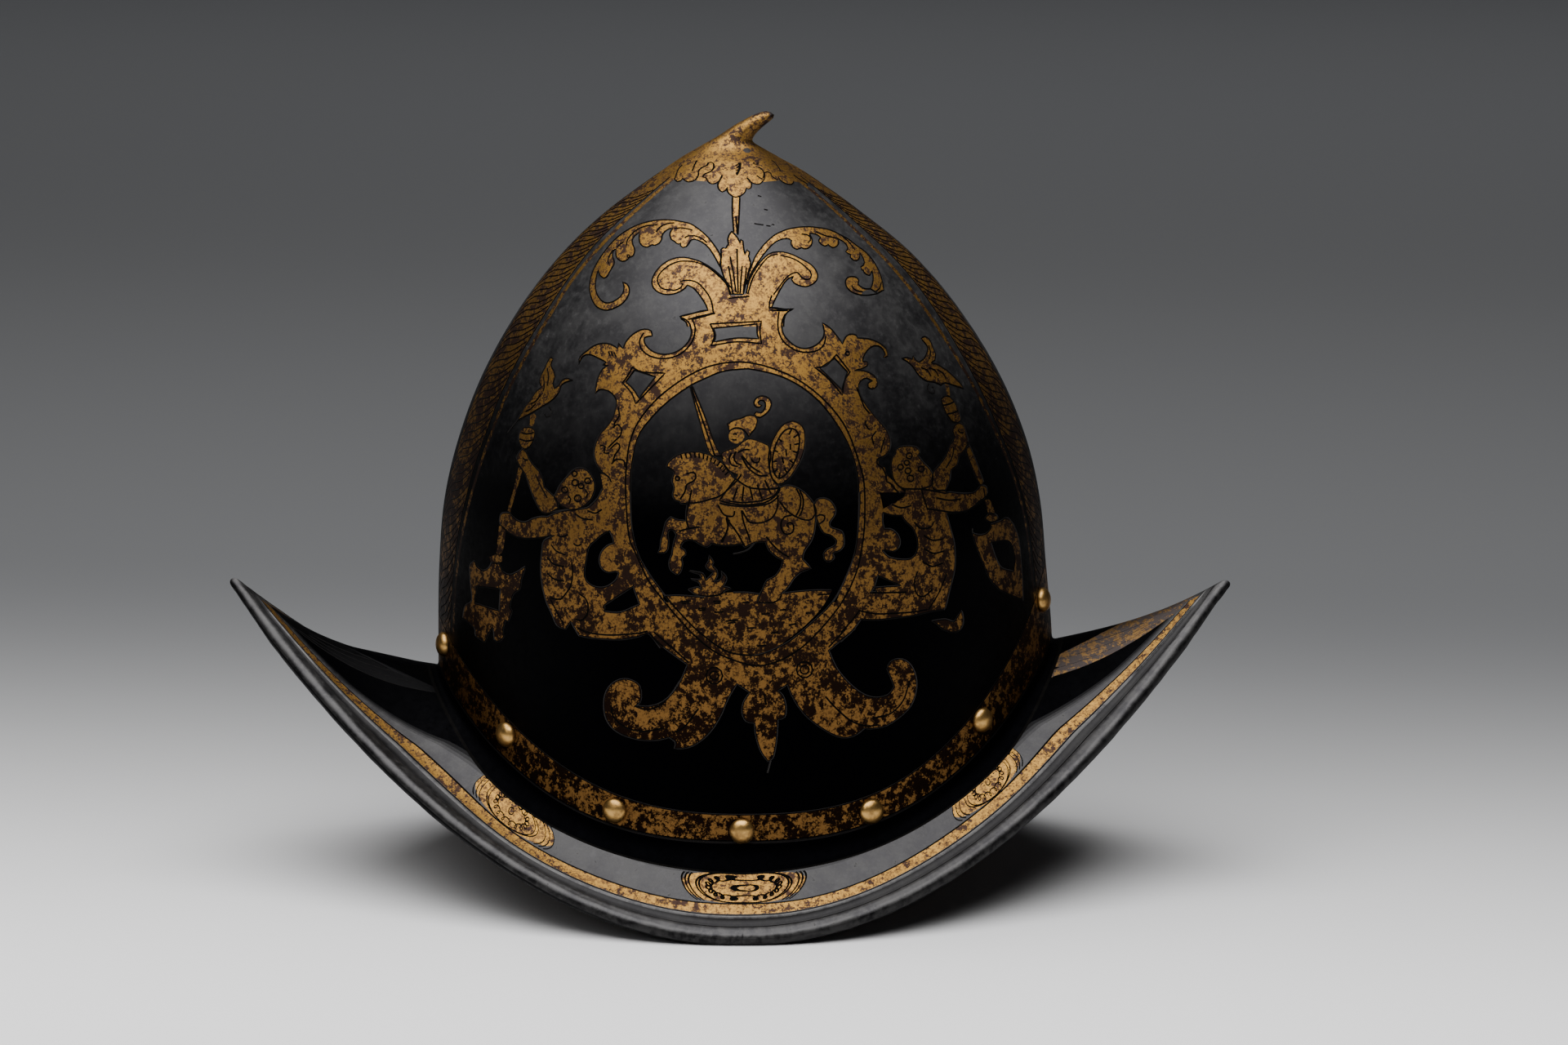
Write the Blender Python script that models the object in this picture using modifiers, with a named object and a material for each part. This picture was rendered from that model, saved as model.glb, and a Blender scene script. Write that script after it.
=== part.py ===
"""Morion helmet: an almond-shaped steel skull with a boat-shaped brim and fourteen lining rivets.

Metres, +Z up. The helmet stands on the lowest stretch of its brim edge at Z = 0. The front of the
helmet points along -Y and the wearer's left side along +X. The helmet is the same on both sides of
the plane X = 0.
"""

import math

import bmesh
import bpy
import numpy as np
from mathutils import Matrix, Vector

# Overall sizes. Heights are over the line of the brim's edge at the helmet's side
BRIM_LENGTH = 0.3570
BRIM_WIDTH = 0.2400
SKULL_HALF_LENGTH = 0.1100
SKULL_HALF_WIDTH = 0.0930
SKULL_TOP = 0.2644
SKULL_SET_BACK = 0.0045
WALL = 0.0012

# The line where the skull meets the brim
CORNER_AT_SIDE = 0.0243
CORNER_AT_FRONT = 0.0700
CORNER_AT_REAR = 0.0796
CORNER_RISE_POWER = 2.8
FILLET_UP = 0.0030
FILLET_OUT_AT_SIDE = 0.0080
FILLET_OUT_AT_ENDS = 0.0030
FILLET_FADE_POWER = 3.0

# The brim's outer edge
TIP_FRONT_HEIGHT = 0.1040
TIP_REAR_HEIGHT = 0.1031
EDGE_RISE_POWER_FRONT = 1.88
EDGE_RISE_POWER_REAR = 1.97
PLAN_POWER = 1.10
TIP_ROUNDING = 0.0035
SAG_AT_SIDE = 0.0010
SAG_AT_FRONT = 0.0078
SAG_AT_REAR = 0.0030
SAG_POWER = 1.3
SAG_RISE_POWER = 2.0

# The turned edge and the sunk line beside it
EDGE_ROLL_RADIUS = 0.0028
EDGE_ROLL_RADIUS_AT_TIP = 0.0019
GROOVE_WIDTH = 0.0044
GROOVE_DEPTH = 0.0009
TIP_BLEND = 0.0060
ROLL_BLEND = 0.0180
LEAST_SLANT = 0.5

# The worn flat on each side that the helmet stands on
SEAT_DEPTH = 0.0004

# The stalk, on a curve in the plane X = 0, measured from the skull's point
STALK_REACH = 0.0100
STALK_RISE = 0.0062
STALK_ROOT_DEPTH = 0.0055
STALK_ROOT_FORWARD = 0.0045
STALK_ROOT_RADIUS = 0.0066
STALK_TIP_RADIUS = 0.0025
STALK_TAPER_POWER = 0.6
STALK_POINTS = 7

# Lining rivets
RIVET_COUNT = 14
RIVET_LINE_AT_SIDE = 0.0319
RIVET_LINE_AT_FRONT = 0.0864
RIVET_LINE_AT_REAR = 0.1049
RIVET_RISE_POWER_FRONT = 2.6
RIVET_RISE_POWER_REAR = 3.0
RIVET_HEAD_RADIUS = 0.0045
RIVET_HEAD_HEIGHT = 0.0030
RIVET_HEAD_UNDERCUT = 0.96
RIVET_SHANK_RADIUS = 0.0018
RIVET_BURR_RADIUS = 0.0029
RIVET_BURR_HEIGHT = 0.0010
RIVET_BURR_TAPER = 0.75
CLEARANCE = 0.0003

# The skull's outline: half lengths before and behind its middle and the half width, as shares of
# SKULL_HALF_LENGTH and SKULL_HALF_WIDTH, at heights given as shares of SKULL_TOP
SECTION_COLUMNS = ("height", "front", "rear", "side")
SKULL_SECTIONS = (
    (0.000, 1.000, 1.015, 1.000),
    (0.310, 0.998, 1.010, 1.000),
    (0.410, 0.993, 0.989, 0.997),
    (0.500, 0.974, 0.968, 0.980),
    (0.585, 0.925, 0.920, 0.930),
    (0.675, 0.842, 0.829, 0.850),
    (0.765, 0.719, 0.693, 0.730),
    (0.836, 0.586, 0.546, 0.590),
    (0.889, 0.454, 0.392, 0.440),
    (0.943, 0.281, 0.213, 0.265),
    (0.978, 0.149, 0.070, 0.110),
    (1.000, 0.000, 0.000, 0.000),
)
KEEL_POWER = 1.16

# Steps of the mesh
TURNS_PER_RIVET = 6
SKULL_ROWS = 12
ROW_SPACING_POWER = 1.3
FILLET_ROWS = 3
BRIM_ROWS = 4
ROLL_ANGLES = (90, 45, 0, -45, -90, -135, -185)
RIVET_STEPS = 12
DOME_ANGLES = (90, 60, 32, 6)
NUDGE = math.radians(0.5)
RULING_NUDGE = 0.04
MERGE_DISTANCE = 0.00001
SMOOTH_ANGLE = math.radians(35)


def smooth_share(column: str, height: float) -> float:
    """Read one column of the skull's sections at a height share, on a smooth curve through its rows."""
    heights = [row[0] for row in SKULL_SECTIONS]
    values = [row[SECTION_COLUMNS.index(column)] for row in SKULL_SECTIONS]
    height = min(max(height, heights[0]), heights[-1])
    low = max(i for i in range(len(heights) - 1) if heights[i] <= height)

    def slope(i: int) -> float:
        before, after = max(i - 1, 0), min(i + 1, len(heights) - 1)
        return (values[after] - values[before]) / (heights[after] - heights[before])

    step = heights[low + 1] - heights[low]
    t = (height - heights[low]) / step
    start = values[low] * (1 + 2 * t) * (1 - t) ** 2
    end = values[low + 1] * t * t * (3 - 2 * t)
    bends = step * (slope(low) * t * (1 - t) ** 2 - slope(low + 1) * t * t * (1 - t))
    return start + end + bends


def rise(turn: float, side: float, front: float, rear: float, power: float) -> float:
    """Blend a size from the helmet's side to its front (turn < 0) or its rear (turn > 0)."""
    end = front if turn < 0 else rear
    return side + (end - side) * abs(math.sin(turn)) ** power


def skull_point(turn: float, height: float) -> Vector:
    """Outer surface of the skull: turn is the angle from the side, height is over the brim's edge."""
    share = height / SKULL_TOP
    end = smooth_share("front" if turn < 0 else "rear", share)
    cosine = math.cos(turn)
    across = SKULL_HALF_WIDTH * smooth_share("side", share) * abs(cosine) ** KEEL_POWER
    along = SKULL_HALF_LENGTH * end * math.sin(turn)
    return Vector((math.copysign(across, cosine), SKULL_SET_BACK + along, height))


def corner_height(turn: float) -> float:
    """Height of the line where the skull's wall and the brim would meet without their fillet."""
    return rise(turn, CORNER_AT_SIDE, CORNER_AT_FRONT, CORNER_AT_REAR, CORNER_RISE_POWER)


def rivet_height(turn: float) -> float:
    """Height of the line that the rivets stand on."""
    power = RIVET_RISE_POWER_FRONT if turn < 0 else RIVET_RISE_POWER_REAR
    return rise(turn, RIVET_LINE_AT_SIDE, RIVET_LINE_AT_FRONT, RIVET_LINE_AT_REAR, power)


def even_turn(angle: float) -> float:
    """The turn whose place lies as evenly round the oval skull as the angle does round a circle."""
    flatness = (SKULL_HALF_LENGTH - SKULL_HALF_WIDTH) / (SKULL_HALF_LENGTH + SKULL_HALF_WIDTH)
    return angle - flatness / 2 * math.sin(2 * angle)


def edge_point(turn: float) -> Vector:
    """A point on the brim's outer edge, which runs to a point at the front and at the rear."""
    share = math.sin(turn) ** 2
    inside = max(1.0 - share * share, 0.0)
    half_width = BRIM_WIDTH / 2 - TIP_ROUNDING
    across = half_width * inside**PLAN_POWER + TIP_ROUNDING * math.sqrt(inside)
    reach = math.copysign(BRIM_LENGTH / 2, turn) - SKULL_SET_BACK
    if turn < 0:
        height = TIP_FRONT_HEIGHT * share**EDGE_RISE_POWER_FRONT
    else:
        height = TIP_REAR_HEIGHT * share**EDGE_RISE_POWER_REAR
    return Vector((across, SKULL_SET_BACK + reach * share, height))


def ruling_point(turn: float, t: float) -> Vector:
    """The brim's upper face between the corner at t = 0 and the edge at t = 1, slightly hollow."""
    corner = skull_point(turn, corner_height(turn))
    sag = rise(turn, SAG_AT_SIDE, SAG_AT_FRONT, SAG_AT_REAR, SAG_RISE_POWER)
    deepest = SAG_POWER / (SAG_POWER + 1)
    point = corner.lerp(edge_point(turn), t)
    point.z -= sag * t**SAG_POWER * (1 - t) / (deepest**SAG_POWER * (1 - deepest))
    return point


def brim_frame(turn: float) -> tuple[Vector, Vector, float]:
    """Outward and upward directions at the brim's edge, and how much a slanted cut stretches it."""
    middle = min(max(turn, 2 * NUDGE - math.pi / 2), math.pi / 2 - 2 * NUDGE)
    along = (edge_point(middle + NUDGE) - edge_point(middle - NUDGE)).normalized()
    outward = (ruling_point(turn, 1.0) - ruling_point(turn, 1.0 - RULING_NUDGE)).normalized()
    stretch = 1.0 / max(along.cross(outward).length, LEAST_SLANT)
    upward = outward.cross(along).normalized()
    if upward.z < 0:
        upward.negate()
    upward.x *= min(edge_point(turn).x / TIP_BLEND, 1.0)
    upward = (upward - outward * upward.dot(outward)).normalized()
    return outward, upward, stretch


def roll_radius(turn: float) -> float:
    """Radius of the turned edge, which thins towards the two tips."""
    blend = min(edge_point(turn).x / ROLL_BLEND, 1.0)
    return EDGE_ROLL_RADIUS_AT_TIP + (EDGE_ROLL_RADIUS - EDGE_ROLL_RADIUS_AT_TIP) * blend


def sheet_row(turn: float) -> list[Vector]:
    """Upper face of the sheet on one meridian, from the skull's point to the turned edge."""
    corner = corner_height(turn)
    fillet = rise(turn, FILLET_OUT_AT_SIDE, FILLET_OUT_AT_ENDS, FILLET_OUT_AT_ENDS, FILLET_FADE_POWER)
    length = (edge_point(turn) - ruling_point(turn, 0.0)).length
    outward, upward, stretch = brim_frame(turn)
    radius = roll_radius(turn)
    reach = (2 * radius + GROOVE_WIDTH) * stretch
    start, stop = fillet / length, 1.0 - reach / length
    points = []
    for row in range(1, SKULL_ROWS + 1):
        fall = (row / SKULL_ROWS) ** ROW_SPACING_POWER
        points.append(skull_point(turn, SKULL_TOP + (corner + FILLET_UP - SKULL_TOP) * fall))
    foot = ruling_point(turn, start)
    bend = ruling_point(turn, 0.0)
    for row in range(1, FILLET_ROWS):
        t = row / FILLET_ROWS
        points.append(points[SKULL_ROWS - 1].lerp(bend, t).lerp(bend.lerp(foot, t), t))
    for row in range(BRIM_ROWS + 1):
        points.append(ruling_point(turn, start + (stop - start) * row / BRIM_ROWS))
    edge = edge_point(turn)
    depth = GROOVE_DEPTH * min(edge.x / TIP_BLEND, 1.0)
    middle = (2 * radius + GROOVE_WIDTH / 2) * stretch
    points.append(edge - outward * middle - upward * depth)
    return points


def roll_row(turn: float) -> list[Vector]:
    """The turned edge on one meridian, from the top of the roll round to its underside."""
    outward, upward, stretch = brim_frame(turn)
    radius = roll_radius(turn)
    centre = edge_point(turn) - outward * radius * stretch - upward * radius
    ring = []
    for angle in ROLL_ANGLES:
        a = math.radians(angle)
        ring.append(centre + outward * radius * stretch * math.cos(a) + upward * radius * math.sin(a))
    return ring


def outward_normals(sheet: np.ndarray, pole: np.ndarray) -> np.ndarray:
    """Unit normals of a grid of points, by meridian and row, that point out of the helmet."""
    above = np.concatenate([np.broadcast_to(pole, sheet[:, :1].shape), sheet[:, :-1]], axis=1)
    below = np.concatenate([sheet[:, 1:], 2 * sheet[:, -1:] - sheet[:, -2:-1]], axis=1)
    mirror = np.array((-1.0, 1.0, 1.0))
    before = np.concatenate([sheet[1:2] * mirror, sheet[:-1]])
    after = np.concatenate([sheet[1:], sheet[-2:-1] * mirror])
    normals = np.cross(below - above, after - before)
    return normals / np.linalg.norm(normals, axis=2, keepdims=True)


def shell_sections() -> tuple[np.ndarray, np.ndarray]:
    """Closed sections of the left half: a grid of points by meridian and step, and its two poles.

    Each section runs down the outer face, round the turned edge and up the inner face. All of them
    start at the outer pole and end at the inner pole, under the stalk.
    """
    quarter = RIVET_COUNT * TURNS_PER_RIVET // 4
    turns = [even_turn(math.pi / 2 * step / quarter) for step in range(-quarter, quarter + 1)]
    sheet = np.array([[tuple(point) for point in sheet_row(turn)] for turn in turns])
    roll = np.array([[tuple(point) for point in roll_row(turn)] for turn in turns])
    pole = np.array((0.0, SKULL_SET_BACK, SKULL_TOP))
    normals = outward_normals(sheet, pole)
    brim_rows = slice(SKULL_ROWS + FILLET_ROWS, None)
    normals[:, brim_rows, 0] *= np.clip(sheet[:, brim_rows, 0] / TIP_BLEND, 0.0, 1.0)
    inner = sheet - WALL * normals
    inner_pole = pole - np.array((0.0, 0.0, WALL / normals[:, 0, 2].mean()))
    grid = np.concatenate([sheet, roll, inner[:, ::-1]], axis=1)
    grid[[0, -1], :, 0] = 0.0
    return grid, np.array((pole, inner_pole))


def loft_mesh(name: str, grid: np.ndarray, poles: np.ndarray) -> bpy.types.Mesh:
    """Join neighbouring sections with four-sided faces, and their ends with fans at the poles."""
    bm = bmesh.new()
    rows = [[bm.verts.new(point) for point in section] for section in grid]
    outer_pole, inner_pole = (bm.verts.new(point) for point in poles)
    for here, there in zip(rows, rows[1:]):
        bm.faces.new((outer_pole, here[0], there[0]))
        for step in range(len(here) - 1):
            bm.faces.new((here[step], here[step + 1], there[step + 1], there[step]))
        bm.faces.new((here[-1], inner_pole, there[-1]))
    mesh = bpy.data.meshes.new(name)
    bm.to_mesh(mesh)
    bm.free()
    return mesh


def make_material(name: str, colour: tuple, metallic: float, roughness: float) -> bpy.types.Material:
    """A plain Principled material."""
    material = bpy.data.materials.new(name)
    material.use_nodes = True
    shader = material.node_tree.nodes["Principled BSDF"]
    shader.inputs["Base Color"].default_value = (*colour, 1.0)
    shader.inputs["Metallic"].default_value = metallic
    shader.inputs["Roughness"].default_value = roughness
    return material


def make_collection(name: str) -> bpy.types.Collection:
    """A new collection in the scene."""
    collection = bpy.data.collections.new(name)
    bpy.context.scene.collection.children.link(collection)
    return collection


def link(
    name: str, mesh: bpy.types.Mesh, home: bpy.types.Collection, parent: bpy.types.Object
) -> bpy.types.Object:
    """An object for a mesh, in its collection and under its parent."""
    made = bpy.data.objects.new(name, mesh)
    home.objects.link(made)
    made.parent = parent
    return made


def as_tool(made: bpy.types.Object) -> bpy.types.Object:
    """Mark an object as one that only shapes others."""
    made.hide_render = True
    made.display_type = "WIRE"
    return made


def shade(mesh: bpy.types.Mesh) -> None:
    """Smooth shading with creases kept."""
    mesh.shade_smooth()
    mesh.set_sharp_from_angle(angle=SMOOTH_ANGLE)


def add_boolean(made: bpy.types.Object, name: str, operation: str) -> bpy.types.BooleanModifier:
    """A Boolean modifier with the exact solver."""
    modifier = made.modifiers.new(name, "BOOLEAN")
    modifier.operation = operation
    modifier.solver = "EXACT"
    return modifier


def rivet_matrix(turn: float, side: int) -> Matrix:
    """Where a rivet stands: its +Z along the skull's outward normal, on the left or right side."""
    height = rivet_height(turn)
    point = skull_point(turn, height)
    across = skull_point(turn + NUDGE, height) - skull_point(turn - NUDGE, height)
    up = skull_point(turn, height + WALL) - skull_point(turn, height - WALL)
    normal = across.cross(up).normalized()
    point.x *= side
    normal.x *= side
    level = Vector((0.0, 0.0, 1.0)).cross(normal).normalized()
    turned = Matrix((level, normal.cross(level), normal)).transposed()
    return Matrix.Translation(point) @ turned.to_4x4()


def rivet_places() -> list[tuple[float, int]]:
    """The rivets' angles from the side and which side each is on, round the helmet from the left."""
    places = []
    for number in range(RIVET_COUNT):
        angle = 2 * math.pi * number / RIVET_COUNT
        turn = even_turn(math.asin(math.sin(angle)))
        places.append((turn, 1 if math.cos(angle) > 0 else -1))
    return places


def wall_bulge(turn: float) -> float:
    """How far the wall bends away from a flat over the radius of a rivet's burr."""
    height = rivet_height(turn)
    point = skull_point(turn, height)
    step = 2 * math.pi / (RIVET_COUNT * TURNS_PER_RIVET)
    before, after = skull_point(turn - step, height), skull_point(turn + step, height)
    chord = (after - before).normalized()
    arm = after - point
    tilt = (arm - chord * arm.dot(chord)).length / arm.dot(chord)
    return RIVET_BURR_RADIUS * tilt


def rivet_profile(bulge: float) -> list[tuple[float, float]]:
    """Half outline of a rivet from the top of its dome down to its burr, as radius and height."""
    outline = []
    widest = math.cos(math.radians(DOME_ANGLES[-1]))
    for degrees in DOME_ANGLES:
        a = math.radians(degrees)
        radius = RIVET_HEAD_RADIUS * math.cos(a) / widest
        outline.append((0.0 if degrees == 90 else radius, CLEARANCE + RIVET_HEAD_HEIGHT * math.sin(a)))
    inside = -WALL - CLEARANCE - bulge
    outline.append((RIVET_HEAD_RADIUS * RIVET_HEAD_UNDERCUT, CLEARANCE))
    outline.append((RIVET_SHANK_RADIUS, CLEARANCE))
    outline.append((RIVET_SHANK_RADIUS, inside))
    outline.append((RIVET_BURR_RADIUS, inside))
    outline.append((RIVET_BURR_RADIUS * RIVET_BURR_TAPER, inside - RIVET_BURR_HEIGHT))
    outline.append((0.0, inside - RIVET_BURR_HEIGHT))
    return outline


def rivet_mesh(name: str, bulge: float) -> bpy.types.Mesh:
    """The rivet's half outline as a chain of edges."""
    outline = rivet_profile(bulge)
    mesh = bpy.data.meshes.new(name)
    edges = [(i, i + 1) for i in range(len(outline) - 1)]
    mesh.from_pydata([(radius, 0.0, height) for radius, height in outline], edges, [])
    return mesh


def add_screw(made: bpy.types.Object) -> None:
    """Turn an outline once round its own Z."""
    screw = made.modifiers.new("turned", "SCREW")
    screw.axis = "Z"
    screw.steps = RIVET_STEPS
    screw.render_steps = RIVET_STEPS
    screw.use_merge_vertices = True
    screw.merge_threshold = MERGE_DISTANCE
    screw.use_smooth_shade = True


def add_hole_cutter(
    name: str, place: Matrix, home: bpy.types.Collection, parent: bpy.types.Object
) -> None:
    """A cylinder through the wall, wider than the rivet's shank by the clearance."""
    bm = bmesh.new()
    radius = RIVET_SHANK_RADIUS + CLEARANCE
    depth = 4 * (WALL + RIVET_BURR_HEIGHT)
    bmesh.ops.create_cone(
        bm, cap_ends=True, segments=RIVET_STEPS, radius1=radius, radius2=radius, depth=depth
    )
    mesh = bpy.data.meshes.new(name)
    bm.to_mesh(mesh)
    bm.free()
    cutter = as_tool(link(name, mesh, home, parent))
    cutter.matrix_local = place


def add_stalk(home: bpy.types.Collection, parent: bpy.types.Object) -> bpy.types.Object:
    """The stalk as a tapering bent rod, made from a curve and turned into a mesh."""
    curve = bpy.data.curves.new("stalk_path", "CURVE")
    curve.dimensions = "3D"
    curve.bevel_depth = STALK_ROOT_RADIUS
    curve.bevel_resolution = 3
    curve.use_fill_caps = True
    spline = curve.splines.new("POLY")
    spline.points.add(STALK_POINTS - 1)
    for number, point in enumerate(spline.points):
        t = number / (STALK_POINTS - 1)
        y = STALK_REACH * t - STALK_ROOT_FORWARD * (1 - t) ** 2
        z = STALK_RISE * t - STALK_ROOT_DEPTH * (1 - t) ** 2
        point.co = (0.0, SKULL_SET_BACK + y, SKULL_TOP + z, 1.0)
        point.radius = 1 - (1 - STALK_TIP_RADIUS / STALK_ROOT_RADIUS) * t**STALK_TAPER_POWER
    rod = bpy.data.objects.new("stalk_path", curve)
    home.objects.link(rod)
    bpy.context.view_layer.update()
    evaluated = rod.evaluated_get(bpy.context.evaluated_depsgraph_get())
    mesh = bpy.data.meshes.new_from_object(evaluated)
    bm = bmesh.new()
    bm.from_mesh(mesh)
    bmesh.ops.remove_doubles(bm, verts=bm.verts, dist=MERGE_DISTANCE)
    bmesh.ops.recalc_face_normals(bm, faces=bm.faces)
    bm.to_mesh(mesh)
    bm.free()
    place = rod.matrix_world.copy()
    bpy.data.objects.remove(rod)
    stalk = as_tool(link("stalk", mesh, home, parent))
    stalk.matrix_local = place
    return stalk


def add_seat_cutter(home: bpy.types.Collection) -> bpy.types.Object:
    """A slab under the ground plane that wears the lowest stretch of the turned edge flat."""
    bm = bmesh.new()
    bmesh.ops.create_cube(bm, size=1.0)
    bmesh.ops.scale(bm, vec=(2 * BRIM_WIDTH, BRIM_LENGTH / 2, BRIM_WIDTH / 4), verts=bm.verts)
    bmesh.ops.translate(bm, vec=(0.0, 0.0, -BRIM_WIDTH / 8), verts=bm.verts)
    mesh = bpy.data.meshes.new("seat_cutter")
    bm.to_mesh(mesh)
    bm.free()
    cutter = bpy.data.objects.new("seat_cutter", mesh)
    home.objects.link(cutter)
    return as_tool(cutter)


def add_shell(home: bpy.types.Collection, tools: bpy.types.Collection, parent: bpy.types.Object) -> None:
    """Skull, brim, turned edge and stalk in one piece, with rivet holes and two worn flats."""
    grid, poles = shell_sections()
    parent.location.y = -(grid[:, :, 1].min() + grid[:, :, 1].max()) / 2
    parent.location.z = -grid[:, :, 2].min() - SEAT_DEPTH
    mesh = loft_mesh("helmet_shell", grid, poles)
    mesh.materials.append(make_material("blackened_steel", (0.030, 0.031, 0.036), 0.9, 0.38))
    shade(mesh)
    shell = link("helmet_shell", mesh, home, parent)
    mirror = shell.modifiers.new("both_sides", "MIRROR")
    mirror.use_axis = (True, False, False)
    mirror.merge_threshold = MERGE_DISTANCE
    add_boolean(shell, "stalk", "UNION").object = add_stalk(tools, parent)
    holes = bpy.data.collections.new("rivet_holes")
    tools.children.link(holes)
    for number, (turn, side) in enumerate(rivet_places(), start=1):
        add_hole_cutter(f"rivet_hole_{number:02d}", rivet_matrix(turn, side), holes, parent)
    drill = add_boolean(shell, "rivet_holes", "DIFFERENCE")
    drill.operand_type = "COLLECTION"
    drill.collection = holes
    add_boolean(shell, "worn_flats", "DIFFERENCE").object = add_seat_cutter(tools)


def add_rivets(home: bpy.types.Collection, parent: bpy.types.Object) -> None:
    """Fourteen lining rivets, equally spaced round the skull."""
    brass = make_material("brass", (0.60, 0.42, 0.15), 1.0, 0.34)
    for number, (turn, side) in enumerate(rivet_places(), start=1):
        name = f"rivet_{number:02d}"
        mesh = rivet_mesh(name, wall_bulge(turn))
        mesh.materials.append(brass)
        rivet = link(name, mesh, home, parent)
        rivet.matrix_local = rivet_matrix(turn, side)
        add_screw(rivet)


def main() -> None:
    """Build the helmet in an empty scene."""
    for old in list(bpy.data.objects):
        bpy.data.objects.remove(old, do_unlink=True)
    helmet = make_collection("morion_helmet")
    cutters = make_collection("cutters")
    stand = bpy.data.objects.new("stand_height", None)
    helmet.objects.link(stand)
    add_shell(helmet, cutters, stand)
    add_rivets(helmet, stand)


main()
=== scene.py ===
"""Morion helmet of blackened steel, etched and gilt, with brass lining rivets, on a pale studio floor.

The helmet's outer face is laid out flat, cut into triangles along every etched line and gilt field,
and bent back onto the helmet's form. Metres, +Z up, front along -Y, wearer's left side along +X.
"""

import logging
import math
from dataclasses import dataclass, field
from enum import Enum
from typing import Iterator, NamedTuple, Union

import bpy
import numpy as np
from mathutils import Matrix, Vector
from mathutils.geometry import delaunay_2d_cdt


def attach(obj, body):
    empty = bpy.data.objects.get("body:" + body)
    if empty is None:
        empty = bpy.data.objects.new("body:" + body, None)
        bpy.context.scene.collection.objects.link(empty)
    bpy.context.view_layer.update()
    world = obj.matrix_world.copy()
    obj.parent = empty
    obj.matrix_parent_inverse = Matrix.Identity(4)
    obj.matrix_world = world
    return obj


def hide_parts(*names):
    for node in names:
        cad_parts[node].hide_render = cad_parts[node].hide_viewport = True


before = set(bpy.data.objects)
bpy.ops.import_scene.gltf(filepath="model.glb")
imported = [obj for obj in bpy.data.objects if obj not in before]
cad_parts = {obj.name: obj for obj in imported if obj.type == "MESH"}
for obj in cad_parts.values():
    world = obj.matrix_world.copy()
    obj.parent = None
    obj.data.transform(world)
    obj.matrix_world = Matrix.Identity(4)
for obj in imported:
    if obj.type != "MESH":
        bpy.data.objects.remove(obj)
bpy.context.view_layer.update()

MM = 0.001
FULL_TURN = 2 * math.pi
QUARTER_TURN = math.pi / 2
# A place this near the plane X = 0, in metres or radians, lies in it
ON_PLANE = 1e-7
# Chart points this near one another, in millimetres, are one
SAME_POINT = 1e-5
# The patches' points are rounded to this, in metres, when they are merged
MERGE_STEP = 2e-6
# The least divisor
TINY = 1e-12
log = logging.getLogger("morion")

# Heights as shares of the skull's top, and the outline there as shares of its half length and width
SECTION_COLUMNS = ("height", "front", "rear", "side")
SKULL_SECTIONS = (
    (0.000, 1.000, 1.015, 1.000),
    (0.310, 0.998, 1.010, 1.000),
    (0.410, 0.993, 0.989, 0.997),
    (0.500, 0.974, 0.968, 0.980),
    (0.585, 0.925, 0.920, 0.930),
    (0.675, 0.842, 0.829, 0.850),
    (0.765, 0.719, 0.693, 0.730),
    (0.836, 0.586, 0.546, 0.590),
    (0.889, 0.454, 0.392, 0.440),
    (0.943, 0.281, 0.213, 0.265),
    (0.978, 0.149, 0.070, 0.110),
    (1.000, 0.000, 0.000, 0.000),
)


def unit(vectors: np.ndarray) -> np.ndarray:
    """Vectors of length one along the last axis."""
    return vectors / np.maximum(np.linalg.norm(vectors, axis=-1, keepdims=True), TINY)


def cubic(
    start: np.ndarray, stop: np.ndarray, out: np.ndarray, into: np.ndarray, t: np.ndarray, span: float = 1.0
) -> np.ndarray:
    """A cubic curve between two values.

    Args:
        start: The value at t = 0.
        stop: The value at t = 1.
        out: The slope at the start.
        into: The slope at the stop.
        t: Where to read the curve.
        span: What t = 1 stands for in the slopes' own measure.

    Returns:
        The values at t.
    """
    bends = span * (out * t * (1 - t) ** 2 - into * t * t * (1 - t))
    return start * (1 + 2 * t) * (1 - t) ** 2 + stop * t * t * (3 - 2 * t) + bends


class Around(NamedTuple):
    """A size at the helmet's side, front and rear, and the powers with which it passes to the ends."""

    side: float
    front: float
    rear: float
    power_front: float
    power_rear: float


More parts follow.
